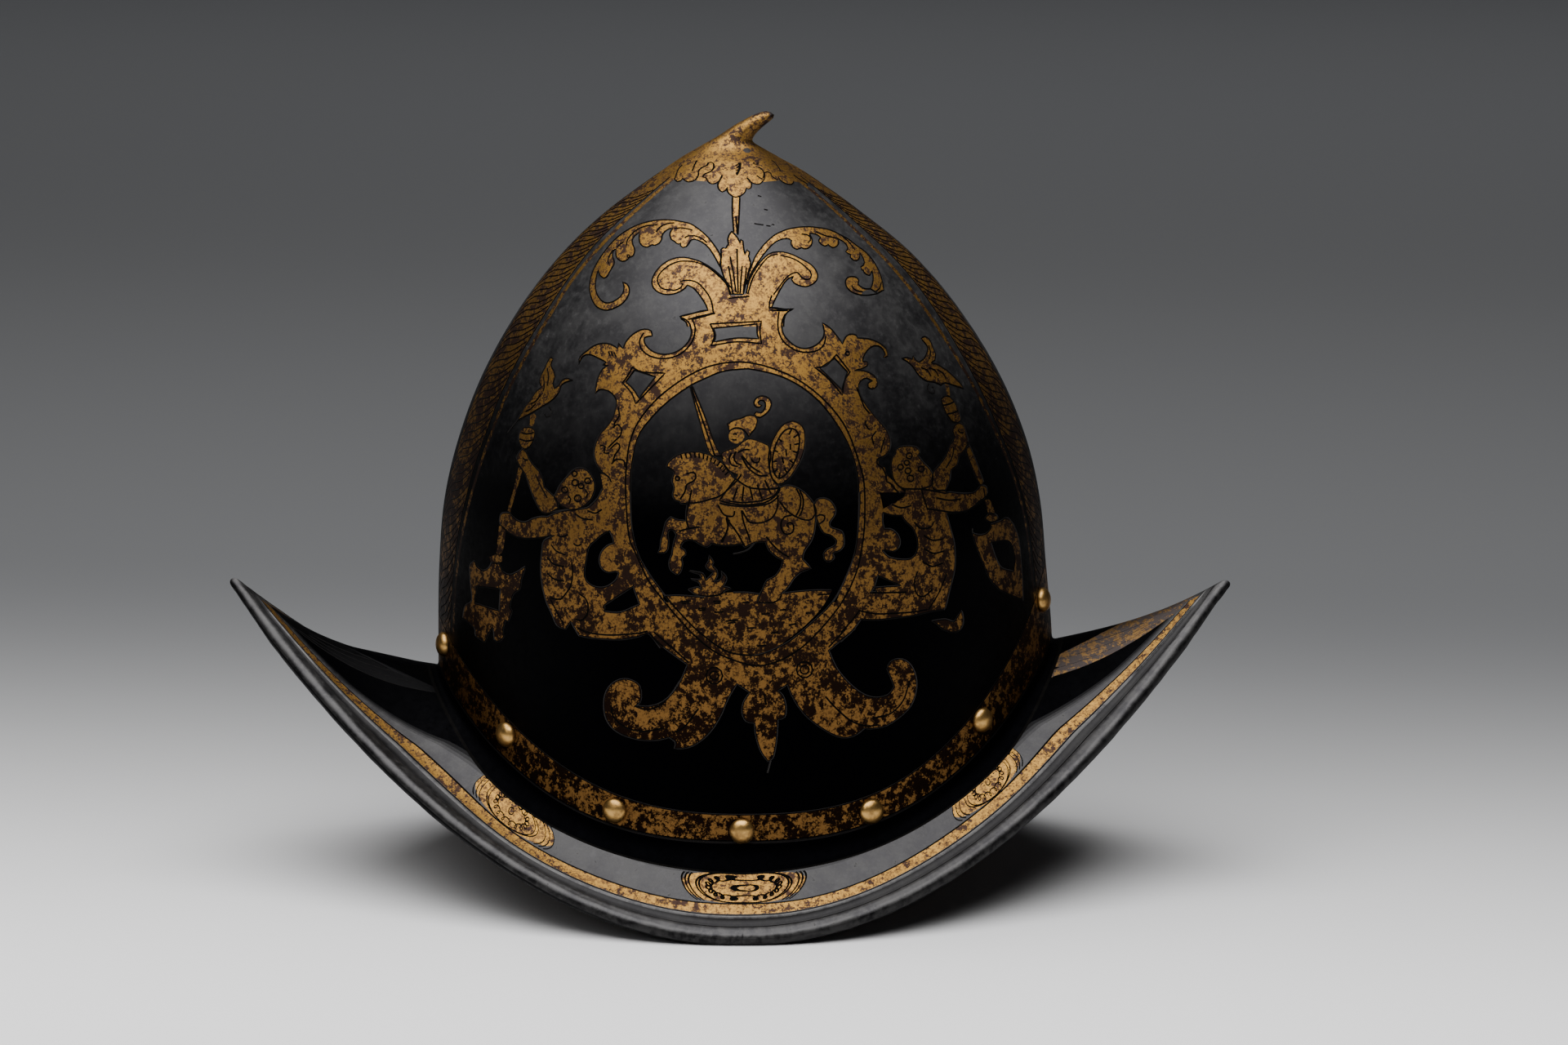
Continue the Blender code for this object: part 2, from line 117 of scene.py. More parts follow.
@dataclass(frozen=True)
class HelmetForm:
    """The helmet's outer face, with the sizes of the solids.

    A place is given by its turn, the angle from the helmet's left side towards the rear, and by its
    height over the line of the brim's edge, or by its inset from that edge.
    """

    stand: tuple = (0.0, 0.00033, 0.003016)
    brim_length: float = 0.3570
    brim_width: float = 0.2400
    half_length: float = 0.1100
    half_width: float = 0.0930
    top: float = 0.2644
    set_back: float = 0.0045
    wall: float = 0.0012
    keel_power: float = 1.16
    corner: Around = Around(0.0243, 0.0700, 0.0796, 2.8, 2.8)
    rivet_line: Around = Around(0.0319, 0.0864, 0.1049, 2.6, 3.0)
    tip_front_height: float = 0.1040
    tip_rear_height: float = 0.1031
    edge_power_front: float = 1.88
    edge_power_rear: float = 1.97
    plan_power: float = 1.10
    tip_rounding: float = 0.0035
    sag: Around = Around(0.0010, 0.0078, 0.0030, 2.0, 2.0)
    sag_power: float = 1.3
    tip_blend: float = 0.0060
    roll_radius: float = 0.0028
    roll_radius_at_tip: float = 0.0019
    roll_blend: float = 0.0180
    narrow_blend: float = 0.0500
    narrow_tip: float = 0.5
    nudge: float = math.radians(0.5)
    near_edge: float = 0.96
    least_slant: float = 0.5
    substitutions: int = 8

    def share(self, column: str, height: np.ndarray) -> np.ndarray:
        """Read a column of the sections.

        Between two rows it is a cubic, whose slope at a row is that of the chord between the row's
        neighbours.

        Args:
            column: Which of the section columns.
            height: Heights as shares of the skull's top.

        Returns:
            The column's values there.
        """
        table = np.array(SKULL_SECTIONS)
        knots, values = table[:, 0], table[:, SECTION_COLUMNS.index(column)]
        last = len(knots) - 1
        before = np.maximum(np.arange(last + 1) - 1, 0)
        after = np.minimum(np.arange(last + 1) + 1, last)
        slopes = (values[after] - values[before]) / (knots[after] - knots[before])
        height = np.clip(height, 0.0, 1.0)
        low = np.clip(np.searchsorted(knots, height, side="right") - 1, 0, last - 1)
        step = knots[low + 1] - knots[low]
        t = (height - knots[low]) / step
        return cubic(values[low], values[low + 1], slopes[low], slopes[low + 1], t, step)

    def rise(self, turn: np.ndarray, size: Around) -> np.ndarray:
        """Blend a size from the side to the front or rear, as the sine of the turn to a power."""
        sine = np.abs(np.sin(turn))
        to_front = size.side + (size.front - size.side) * sine**size.power_front
        to_rear = size.side + (size.rear - size.side) * sine**size.power_rear
        return np.where(turn < 0, to_front, to_rear)

    def skull(self, turn: np.ndarray, height: np.ndarray) -> np.ndarray:
        """Points of the skull.

        Across, it is the half width times the cosine to the keel power, and along, the half length
        times the sine, both times the section's share at that height.

        Args:
            turn: Turns from the left side towards the rear.
            height: Heights over the line of the brim's edge.

        Returns:
            The points.
        """
        share = height / self.top
        end = np.where(turn < 0, self.share("front", share), self.share("rear", share))
        across = self.half_width * self.share("side", share) * np.abs(np.cos(turn)) ** self.keel_power
        along = self.set_back + self.half_length * end * np.sin(turn)
        return np.stack(np.broadcast_arrays(across, along, height), axis=-1) + np.array(self.stand)

    def edge(self, turn: np.ndarray) -> np.ndarray:
        """The brim's edge: its width falls and its height rises with powers of the sine squared."""
        share = np.sin(turn) ** 2
        inside = np.maximum(1.0 - share * share, 0.0)
        half = self.brim_width / 2 - self.tip_rounding
        across = half * inside**self.plan_power + self.tip_rounding * np.sqrt(inside)
        reach = np.where(turn < 0, -self.brim_length / 2, self.brim_length / 2) - self.set_back
        to_front = self.tip_front_height * share**self.edge_power_front
        to_rear = self.tip_rear_height * share**self.edge_power_rear
        height = np.where(turn < 0, to_front, to_rear)
        return np.stack([across, self.set_back + reach * share, height], axis=-1) + np.array(self.stand)

    def ruling(self, turn: np.ndarray, t: np.ndarray) -> np.ndarray:
        """The brim's rulings, let down by a sag that grows as a power of t and dies out at the edge.

        Args:
            turn: Turns of the rulings.
            t: Where on each, from 0 at the skull's corner to 1 at the edge.

        Returns:
            The points.
        """
        start = self.skull(turn, self.rise(turn, self.corner))
        deepest = self.sag_power / (self.sag_power + 1)
        sag = self.rise(turn, self.sag) / (deepest**self.sag_power * (1 - deepest))
        t = np.asarray(t)[..., None]
        points = start + (self.edge(turn) - start) * t
        points[..., 2] -= sag * t[..., 0] ** self.sag_power * (1 - t[..., 0])
        return points

    def brim_frame(self, turn: np.ndarray) -> tuple[np.ndarray, np.ndarray, np.ndarray, np.ndarray]:
        """What is measured from at the brim's edge.

        Args:
            turn: Turns of the places on the edge.

        Returns:
            The directions outward and upward, the stretch of a slanted cut, and the ruling's length.
        """
        limit = QUARTER_TURN - 2 * self.nudge
        middle = np.clip(turn, -limit, limit)
        along = unit(self.edge(middle + self.nudge) - self.edge(middle - self.nudge))
        ones = np.ones_like(turn)
        outward = unit(self.ruling(turn, ones) - self.ruling(turn, self.near_edge * ones))
        slant = np.linalg.norm(np.cross(along, outward), axis=-1)
        upward = unit(np.cross(outward, along))
        upward *= np.where(upward[..., 2:] < 0, -1.0, 1.0)
        edge = self.edge(turn)
        upward[..., 0] *= np.minimum(edge[..., 0] / self.tip_blend, 1.0)
        upward = unit(upward - outward * np.sum(upward * outward, axis=-1, keepdims=True))
        length = np.linalg.norm(edge - self.ruling(turn, 0.0 * ones), axis=-1)
        return outward, upward, 1.0 / np.maximum(slant, self.least_slant), length

    def brim(self, turn: np.ndarray, inset: np.ndarray, lift: float = 0.0) -> np.ndarray:
        """The brim's upper face at an inset from its edge, raised by a lift."""
        _, upward, stretch, length = self.brim_frame(turn)
        return self.ruling(turn, 1.0 - inset * stretch / length) + upward * lift

    def narrow(self, turn: np.ndarray) -> np.ndarray:
        """Share to which everything measured from the edge narrows near the two tips."""
        blend = np.minimum(self.edge(turn)[..., 0] / self.narrow_blend, 1.0)
        return self.narrow_tip + (1.0 - self.narrow_tip) * blend

    def radius_of_roll(self, turn: np.ndarray) -> np.ndarray:
        """Radius of the turned edge, thinner near the two tips."""
        blend = np.minimum(self.edge(turn)[..., 0] / self.roll_blend, 1.0)
        return self.roll_radius_at_tip + (self.roll_radius - self.roll_radius_at_tip) * blend

    def even_turn(self, angle: np.ndarray) -> np.ndarray:
        """The turn whose place lies as evenly round the skull as the angle does round a circle."""
        return angle - self._flatness() / 2 * np.sin(2 * angle)

    def angle_of(self, turn: np.ndarray) -> np.ndarray:
        """The angle whose even turn is the given one, by repeated substitution."""
        angle = turn
        for _ in range(self.substitutions):
            angle = turn + self._flatness() / 2 * np.sin(2 * angle)
        return angle

    def _flatness(self) -> float:
        """How far the skull's plan departs from a circle."""
        return (self.half_length - self.half_width) / (self.half_length + self.half_width)


@dataclass(frozen=True)
class View:
    """The camera's place and how the picture's points lie in front of it."""

    distance: float = 2.5
    elevation: float = math.radians(11.0)
    target: tuple = (0.0, 0.01949, 0.12633)
    picture: tuple = (1920, 1280)
    width_at_target: float = 0.56294
    sensor: float = 36.0
    halvings: int = 40
    first_depth: float = 1.02
    highest_share: float = 0.999

    def place(self) -> np.ndarray:
        """Where the camera stands, looking along -X and down."""
        back = np.array((math.cos(self.elevation), 0.0, math.sin(self.elevation)))
        return np.array(self.target) + self.distance * back

    def rays(self, points: np.ndarray) -> np.ndarray:
        """Directions from the camera through picture points."""
        ahead = np.array((-math.cos(self.elevation), 0.0, -math.sin(self.elevation)))
        right = np.array((0.0, 1.0, 0.0))
        up = np.cross(right, ahead)
        size = self.width_at_target / self.distance / self.picture[0]
        across = (points[:, :1] - self.picture[0] / 2) * size
        rise = (self.picture[1] / 2 - points[:, 1:2]) * size
        return ahead + right * across + up * rise

    def on_skull(self, form: HelmetForm, points: np.ndarray) -> tuple[np.ndarray, np.ndarray]:
        """Find the skull's places seen at picture points, by halving the depth again and again.

        Args:
            form: The helmet's form.
            points: Points of the picture, in pixels.

        Returns:
            The angle and the height of each place.
        """
        start, rays = self.place(), self.rays(points)
        near = np.full(len(points), form.half_width * self.first_depth)
        far = np.zeros(len(points))
        for _ in range(self.halvings):
            depth = (near + far) / 2
            height, along, across = self._shares(form, start, rays, depth)
            outside = along**2 + across ** (2 / form.keel_power) > 1.0
            near, far = np.where(outside, depth, near), np.where(outside, far, depth)
        turn = np.arcsin(np.clip(along, -1.0, 1.0))
        return form.angle_of(turn), height

    def _shares(
        self, form: HelmetForm, start: np.ndarray, rays: np.ndarray, depth: np.ndarray
    ) -> tuple[np.ndarray, np.ndarray, np.ndarray]:
        """Height of each ray's point at a depth, and its place along and across as shares."""
        points = start + rays * ((depth - start[0]) / rays[:, 0])[:, None] - np.array(form.stand)
        share = np.clip(points[:, 2] / form.top, 0.0, self.highest_share)
        y = points[:, 1] - form.set_back
        end = np.where(y < 0, form.share("front", share), form.share("rear", share))
        along = y / (form.half_length * end)
        across = depth / (form.half_width * form.share("side", share))
        return points[:, 2], along, across


@dataclass(frozen=True)
class SkullChart:
    """The skull's left half laid flat, in millimetres.

    Upwards is the length along the side's own profile, measured down from the apex, and sideways is
    the angle times the mean radius of the section at that height.
    """

    form: HelmetForm
    steps: int = 2000
    least_radius: float = 1e-6

    def _profile(self) -> tuple[np.ndarray, np.ndarray]:
        """Heights from the apex down and the length of the side's profile to each."""
        heights = np.linspace(self.form.top, 0.0, self.steps)
        points = self.form.skull(np.zeros(self.steps), heights)
        lengths = np.linalg.norm(np.diff(points, axis=0), axis=1)
        return heights, np.concatenate([[0.0], np.cumsum(lengths)]) / MM

    def radius(self, height: np.ndarray) -> np.ndarray:
        """Root mean square of the section's half axes."""
        share = height / self.form.top
        wide = self.form.half_width * self.form.share("side", share)
        ends = (self.form.share("front", share) + self.form.share("rear", share)) / 2
        return np.sqrt((wide**2 + (self.form.half_length * ends) ** 2) / 2) / MM

    def flatten(self, angle: np.ndarray, height: np.ndarray) -> np.ndarray:
        """Chart points of places given by angle and height."""
        heights, lengths = self._profile()
        fall = np.interp(-height, -heights, lengths)
        return np.stack(np.broadcast_arrays(angle * self.radius(height), -fall), axis=-1)

    def places(self, points: np.ndarray) -> tuple[np.ndarray, np.ndarray]:
        """Angle and height of chart points."""
        heights, lengths = self._profile()
        height = np.interp(-points[:, 1], lengths, heights)
        return points[:, 0] / np.maximum(self.radius(height), self.least_radius), height

    def wrap(self, angle: np.ndarray, height: np.ndarray) -> np.ndarray:
        """Points in space of places on the skull."""
        turn = self.form.even_turn(angle)
        points = self.form.skull(turn, height)
        points[np.abs(angle) > QUARTER_TURN - ON_PLANE, 0] = 0.0
        return points


@dataclass(frozen=True)
class BrimChart:
    """The brim's left half laid flat: length along the edge sideways and the inset upwards.

    Insets here are those at the helmet's side, and shrink near the tips by the form's narrow share.
    """

    form: HelmetForm
    steps: int = 2000

    def _edge(self) -> tuple[np.ndarray, np.ndarray]:
        """Angles along the edge and the length from the side to each."""
        angles = np.linspace(-QUARTER_TURN, QUARTER_TURN, self.steps)
        points = self.form.edge(self.form.even_turn(angles))
        lengths = np.concatenate([[0.0], np.cumsum(np.linalg.norm(np.diff(points, axis=0), axis=1))])
        return angles, (lengths - np.interp(0.0, angles, lengths)) / MM

    def flatten(self, angle: np.ndarray, inset: np.ndarray) -> np.ndarray:
        """Chart points of places given by angle and inset."""
        angles, lengths = self._edge()
        return np.stack(np.broadcast_arrays(np.interp(angle, angles, lengths), inset / MM), axis=-1)

    def places(self, points: np.ndarray) -> tuple[np.ndarray, np.ndarray]:
        """Angle and inset of chart points."""
        angles, lengths = self._edge()
        return np.interp(points[:, 0], lengths, angles), points[:, 1] * MM

    def wrap(self, angle: np.ndarray, inset: np.ndarray) -> np.ndarray:
        """Points in space of places on the brim."""
        turn = self.form.even_turn(angle)
        points = self.form.brim(turn, inset * self.form.narrow(turn))
        points[np.abs(angle) > QUARTER_TURN - ON_PLANE, 0] = 0.0
        return points


Chart = Union[SkullChart, BrimChart]


def smooth_line(points: np.ndarray, step: float, closed: bool = False) -> np.ndarray:
    """A curve through points, each span a cubic whose end slopes follow the neighbouring points.

    Args:
        points: What the curve runs through.
        step: The greatest length of a piece of it.
        closed: Whether it returns to the first point.

    Returns:
        The curve's points.
    """
    if len(points) < 3 and not closed:
        count = max(int(np.ceil(np.linalg.norm(points[-1] - points[0]) / step)), 1)
        t = np.linspace(0.0, 1.0, count + 1)[:, None]
        return points[0] + (points[-1] - points[0]) * t
    if closed:
        padded = np.concatenate([points[-1:], points, points[:2]])
    else:
        padded = np.concatenate([2 * points[:1] - points[1:2], points, 2 * points[-1:] - points[-2:-1]])
    spans = []
    for before, start, stop, after in zip(padded, padded[1:], padded[2:], padded[3:]):
        count = max(int(np.ceil(np.linalg.norm(stop - start) / step)), 1)
        t = np.arange(count)[:, None] / count
        spans.append(cubic(start, stop, (stop - before) / 2, (after - start) / 2, t))
    end = points[:1] if closed else points[-1:]
    return np.concatenate([*spans, end])


def traced(text: str, step: float) -> np.ndarray:
    """A line from points written as x,y, with ! after a corner, where the curve may break.

    Args:
        text: The points, separated by spaces. A line whose last point is its first is closed.
        step: The greatest length of a piece of the line.

    Returns:
        The points of the line, close enough together to look smooth.
    """
    words = text.split()
    points = np.array([[float(value) for value in word.rstrip("!").split(",")] for word in words])
    corners = [i for i, word in enumerate(words) if word.endswith("!")]
    closed = bool(np.allclose(points[0], points[-1]))
    if closed and not corners:
        return smooth_line(points[:-1], step, closed=True)
    stops = sorted({0, len(points) - 1, *corners})
    runs = [smooth_line(points[a : b + 1], step) for a, b in zip(stops, stops[1:])]
    return np.concatenate([run[:-1] for run in runs] + [points[-1:]])


def inside_outline(points: np.ndarray, outline: np.ndarray) -> np.ndarray:
    """Which points lie inside a closed outline, by counting the crossings of a level ray."""
    low, high = outline.min(axis=0), outline.max(axis=0)
    near = np.flatnonzero(np.all((points >= low) & (points <= high), axis=1))
    inside = np.zeros(len(points), dtype=bool)
    x, y = points[near, 0], points[near, 1]
    crossed = np.zeros(len(near), dtype=bool)
    for start, stop in zip(outline, np.roll(outline, -1, axis=0)):
        spans = (start[1] > y) != (stop[1] > y)
        rise = stop[1] - start[1]
        if rise != 0.0:
            crossed ^= spans & (x < start[0] + (y - start[1]) * (stop[0] - start[0]) / rise)
    inside[near] = crossed
    return inside


def distance_to_line(points: np.ndarray, line: np.ndarray, reach: float, block: int = 24) -> np.ndarray:
    """Measure how far points are from a line.

    Args:
        points: The points.
        line: The line's own points.
        reach: The greatest distance that matters.
        block: How many pieces of the line are taken at a time.

    Returns:
        The shortest distances, or twice the reach where a point is further away.
    """
    nearest = np.full(len(points), 2 * reach)
    for first in range(0, len(line) - 1, block):
        part = line[first : first + block + 1]
        start, way = part[:-1], np.diff(part, axis=0)
        low, high = part.min(axis=0) - reach, part.max(axis=0) + reach
        near = np.flatnonzero(np.all((points >= low) & (points <= high), axis=1))
        arms = points[near][:, None, :] - start[None]
        t = np.sum(arms * way, axis=-1) / np.maximum(np.sum(way * way, axis=-1), TINY)
        gaps = arms - way * np.clip(t, 0.0, 1.0)[..., None]
        found = np.sqrt(np.min(np.sum(gaps * gaps, axis=-1), axis=1)) if len(near) else 0.0
        nearest[near] = np.minimum(nearest[near], found)
    return nearest


def offset_line(line: np.ndarray, offset: float) -> np.ndarray:
    """The line moved sideways by an offset, square to the mean direction at each point."""
    way = np.gradient(line, axis=0)
    side = unit(np.stack([-way[:, 1], way[:, 0]], axis=1))
    return line + side * offset


@dataclass
class Sheet:
    """Gilt fields and etched lines drawn on a chart, in millimetres.

    Args:
        chart: The flat layout that the drawing is on.
        border: The closed outline of the sheet, as places (angle, height or inset).
        spacing: Distance between the points that carry the bare surface.
        groove_depth: How deep an etched line is cut at its middle.
        clearance: How clear of drawn points the spaced ones stay, as a share of the spacing.
        groove_reach: Faces within this share of a line's half width are etched.
        seam_reach: How near the border an added point lies in it.
        seam_search: How far round the border the search for such points goes.
        turn_step: Step along the surface for its normals, as an angle.
        up_step: Step up the surface for its normals, in metres.
    """

    chart: Chart
    border: np.ndarray
    spacing: float = 3.2
    groove_depth: float = 0.16
    clearance: float = 0.45
    groove_reach: float = 0.98
    seam_reach: float = 1e-3
    seam_search: float = 0.01
    turn_step: float = 1e-3
    up_step: float = 2e-4
    fields: list[tuple[np.ndarray, float]] = field(default_factory=list)
    lines: list[tuple[np.ndarray, float]] = field(default_factory=list)

    def fill(self, outline: np.ndarray, gilt: float = 1.0) -> None:
        """Lay gold inside an outline; later fields lie on top.

        Args:
            outline: The field's closed outline.
            gilt: How much gold, 0 to take it away, or a value below 0 for painted shade, which keeps the
                steel black where it faces up.
        """
        self.fields.append((outline, gilt))

    def etch(self, line: np.ndarray, width: float = 0.8) -> None:
        """Cut a line of the given width."""
        self.lines.append((line, width / 2))

    def _constraints(self, border: np.ndarray) -> tuple[np.ndarray, list]:
        """Every point and edge that the triangles have to keep."""
        runs = [np.concatenate([border, border[:1]])]
        runs += [np.concatenate([outline, outline[:1]]) for outline, _ in self.fields]
        for line, half in self.lines:
            runs += [line, offset_line(line, half), offset_line(line, -half)]
        starts = np.cumsum([0] + [len(run) for run in runs])
        edges = [(a + i, a + i + 1) for a, run in zip(starts, runs) for i in range(len(run) - 1)]
        return np.concatenate(runs), edges

    def _carriers(self, border: np.ndarray, kept: np.ndarray) -> np.ndarray:
        """Points of a staggered grid inside the border that stand clear of everything drawn."""
        low, high = border.min(axis=0), border.max(axis=0)
        columns = np.arange(low[0], high[0], self.spacing)
        rows = np.arange(low[1], high[1], self.spacing * math.sqrt(0.75))
        grid = np.stack(np.meshgrid(columns, rows), axis=-1)
        grid[1::2, :, 0] += self.spacing / 2
        grid = grid.reshape(-1, 2)
        cell = self.spacing * self.clearance
        size = np.ceil((high - low) / cell).astype(int) + 4
        taken = np.zeros(size, dtype=bool)
        marks = ((kept - low) / cell).astype(int) + 1
        for shift in np.stack(np.meshgrid((-1, 0, 1), (-1, 0, 1)), axis=-1).reshape(-1, 2):
            spots = np.clip(marks + shift, 0, size - 1)
            taken[spots[:, 0], spots[:, 1]] = True
        spots = np.clip(((grid - low) / cell).astype(int) + 1, 0, size - 1)
        grid = grid[~taken[spots[:, 0], spots[:, 1]]]
        return grid[inside_outline(grid, border)]

    def cut(self) -> "Patch":
        """Cut the sheet into triangles and bend it onto the helmet.

        Returns:
            The patch of surface, with its gilt and etched faces marked.
        """
        border = self.chart.flatten(self.border[:, 0], self.border[:, 1])
        flat, triangles, borders = self._triangles(border)
        gilt, etched, depth = self._marks(flat, triangles)
        angle, height = self.chart.places(flat)
        on_border = borders >= 0
        angle[on_border] = self.border[borders[on_border], 0]
        height[on_border] = self.border[borders[on_border], 1]
        depth[on_border] = 0.0
        surface = self.chart.wrap(angle, height)
        normals = self._normals(angle, height)
        surface = surface - normals * (depth * self.groove_depth * MM)[:, None]
        surface[surface[:, 0] < ON_PLANE, 0] = 0.0
        solid = np.any(surface[triangles][..., 0] > ON_PLANE, axis=1)
        triangles, gilt, etched = triangles[solid], gilt[solid], etched[solid]
        corners = normals[triangles]
        sides = surface[triangles]
        slopes = unit(np.cross(sides[:, 1] - sides[:, 0], sides[:, 2] - sides[:, 0]))
        corners[etched] = slopes[etched][:, None, :]
        return Patch(surface, triangles, gilt, etched.astype(float), corners)

    def _triangles(self, border: np.ndarray) -> tuple[np.ndarray, np.ndarray, np.ndarray]:
        """Cut the flat sheet into triangles along everything drawn.

        Args:
            border: The sheet's border, flat.

        Returns:
            The points, the triangles, and each point's number in the border, or -1 off it.
        """
        kept, edges = self._constraints(border)
        points = np.concatenate([kept, self._carriers(border, kept)])
        given = [Vector(point) for point in points.tolist()]
        found, _, faces, sources, _, _ = delaunay_2d_cdt(given, edges, [], 0, SAME_POINT, True)
        flat = np.array([tuple(point) for point in found])
        triangles = np.array(faces)
        triangles = triangles[inside_outline(flat[triangles].mean(axis=1), border)]
        origin = np.array([source[0] if source and source[0] < len(border) else -1 for source in sources])
        triangles = self._seamed(flat, triangles, origin, border)
        used, triangles = np.unique(triangles, return_inverse=True)
        return flat[used], triangles.reshape(-1, 3), origin[used]

    def _marks(self, flat: np.ndarray, triangles: np.ndarray) -> tuple[np.ndarray, np.ndarray, np.ndarray]:
        """Gold and etching of every triangle, and each point's depth in a groove as a share."""
        middles = flat[triangles].mean(axis=1)
        gilt = np.zeros(len(triangles))
        for outline, value in self.fields:
            gilt[inside_outline(middles, outline)] = value
        etched = np.zeros(len(triangles), dtype=bool)
        depth = np.zeros(len(flat))
        for line, half in self.lines:
            etched |= distance_to_line(middles, line, half) < half * self.groove_reach
            fall = 1.0 - distance_to_line(flat, line, half) / half
            depth = np.maximum(depth, np.clip(fall, 0.0, 1.0))
        return gilt, etched, depth

    def _seamed(
        self, flat: np.ndarray, triangles: np.ndarray, origin: np.ndarray, border: np.ndarray
    ) -> np.ndarray:
        """Move every point that a drawn line added to the border to the border's own nearest point.

        The neighbouring patch then meets the sheet without a gap.

        Args:
            flat: The sheet's points.
            triangles: Its triangles.
            origin: Each point's number in the border, or -1.
            border: The border's points.

        Returns:
            The triangles that are left, each of them once.
        """
        closed = np.concatenate([border, border[:1]])
        used = np.unique(triangles)
        angle, _ = self.chart.places(flat[used])
        gaps = distance_to_line(flat[used], closed, self.seam_search)
        added = (origin[used] < 0) & (gaps < self.seam_reach)
        stray = used[added & (np.abs(angle) < QUARTER_TURN - SAME_POINT)]
        posts = used[origin[used] >= 0]
        gaps = np.linalg.norm(flat[stray][:, None] - flat[posts][None], axis=2)
        moved = np.arange(len(flat))
        moved[stray] = posts[gaps.argmin(axis=1)]
        triangles = moved[triangles]
        triangles = triangles[np.all(triangles != np.roll(triangles, -1, axis=1), axis=1)]
        corners = np.sort(triangles, axis=1)
        _, first, counts = np.unique(corners, axis=0, return_index=True, return_counts=True)
        return triangles[np.sort(first[counts % 2 == 1])]

    def _normals(self, angle: np.ndarray, height: np.ndarray) -> np.ndarray:
        """Outward normals of the chart's surface, from small steps along and up it."""
        wrap, turn, rise = self.chart.wrap, self.turn_step, self.up_step
        inner = np.clip(angle, -QUARTER_TURN + 2 * turn, QUARTER_TURN - 2 * turn)
        along = wrap(inner + turn, height) - wrap(inner - turn, height)
        up = wrap(inner, height + rise) - wrap(inner, height - rise)
        return unit(np.cross(along, up))


@dataclass
class Patch:
    """A piece of surface.

    Args:
        points: The points in space.
        faces: Three or four point numbers a face.
        gilt: How much gold each face carries, or how much painted shade, below 0.
        etched: How far each face belongs to an etched line.
        normals: A normal for each corner of each face, zero where the faces themselves decide.
        inside: 1 for the helmet's inside.
        rubbed: How far each face is rubbed bright.
    """

    points: np.ndarray
    faces: np.ndarray
    gilt: np.ndarray
    etched: np.ndarray
    normals: np.ndarray
    inside: float = 0.0
    rubbed: Union[np.ndarray, float] = 0.0

    def mirrored(self) -> "Patch":
        """The same patch on the other side of the plane X = 0, with its faces still outward."""
        flip = np.array((-1.0, 1.0, 1.0))
        normals = self.normals[:, ::-1] * flip
        faces = self.faces[:, ::-1]
        return Patch(self.points * flip, faces, self.gilt, self.etched, normals, self.inside, self.rubbed)


def strip_patch(rows: np.ndarray, gilt: np.ndarray, etched: np.ndarray, inside: float = 0.0) -> Patch:
    """Four-sided faces between rows of points that run from left to right, listed downwards.

    Args:
        rows: Points by row and column.
        gilt: How much gold each strip between two rows carries.
        etched: How far each strip belongs to an etched line.
        inside: 1 where the strips line the helmet.

    Returns:
        The patch, shaded by its own faces.
    """
    count, width = rows.shape[:2]
    index = np.arange(count * width).reshape(count, width)
    quads = np.stack([index[:-1, :-1], index[1:, :-1], index[1:, 1:], index[:-1, 1:]], axis=-1)
    faces = quads.reshape(-1, 4)
    spread = width - 1
    return Patch(
        rows.reshape(-1, 3), faces, np.repeat(gilt, spread), np.repeat(etched, spread),
        np.zeros((len(faces), 4, 3)), inside,
    )


def joined_mesh(name: str, patches: list[Patch], smooth_angle: float) -> bpy.types.Mesh:
    """Join patches into one mesh, with equal points merged and the marks kept as attributes.

    Args:
        name: The mesh's name.
        patches: Patches of three-sided or four-sided faces.
        smooth_angle: Faces that meet at more than this keep a crease.

    Returns:
        The mesh, with the attributes gilt, etched and rubbed on its faces and upward, the share
        of its normal that points up, on its faces' corners.
    """
    points = np.concatenate([patch.points for patch in patches])
    starts = np.cumsum([0] + [len(patch.points) for patch in patches])
    _, first, merged = np.unique(
        np.round(points / MERGE_STEP).astype(np.int64), axis=0, return_index=True, return_inverse=True
    )
    merged = merged.reshape(-1)
    faces = [merged[patch.faces + start] for start, patch in zip(starts, patches)]
    whole = [np.all(part != np.roll(part, -1, axis=1), axis=1) for part in faces]
    loops = np.concatenate([part[keep].ravel() for part, keep in zip(faces, whole)])
    sides = np.concatenate([np.full(keep.sum(), part.shape[1]) for part, keep in zip(faces, whole)])
    mesh = bpy.data.meshes.new(name)
    mesh.vertices.add(len(first))
    mesh.vertices.foreach_set("co", points[first].astype(np.float32).ravel())
    mesh.loops.add(len(loops))
    mesh.loops.foreach_set("vertex_index", loops.astype(np.int32))
    mesh.polygons.add(len(sides))
    mesh.polygons.foreach_set("loop_start", np.concatenate([[0], np.cumsum(sides)[:-1]]).astype(np.int32))
    inside = np.concatenate([np.full(keep.sum(), patch.inside) for patch, keep in zip(patches, whole)])
    mesh.polygons.foreach_set("material_index", inside.astype(np.int32))
    mesh.update(calc_edges=True)
    mesh.shade_smooth()
    mesh.set_sharp_from_angle(angle=smooth_angle)
    for label in ("gilt", "etched", "rubbed"):
        layer = mesh.attributes.new(label, "FLOAT", "FACE")
        parts = [getattr(patch, label) + np.zeros(len(patch.faces)) for patch in patches]
        values = np.concatenate([part[keep] for part, keep in zip(parts, whole)])
        layer.data.foreach_set("value", values.astype(np.float32))
    normals = np.concatenate([patch.normals[keep].reshape(-1, 3) for patch, keep in zip(patches, whole)])
    mesh.normals_split_custom_set(normals.tolist())
    facing = np.zeros(3 * len(loops), dtype=np.float32)
    mesh.corner_normals.foreach_get("vector", facing)
    layer = mesh.attributes.new("upward", "FLOAT", "CORNER")
    layer.data.foreach_set("value", facing[2::3].copy())
    return mesh


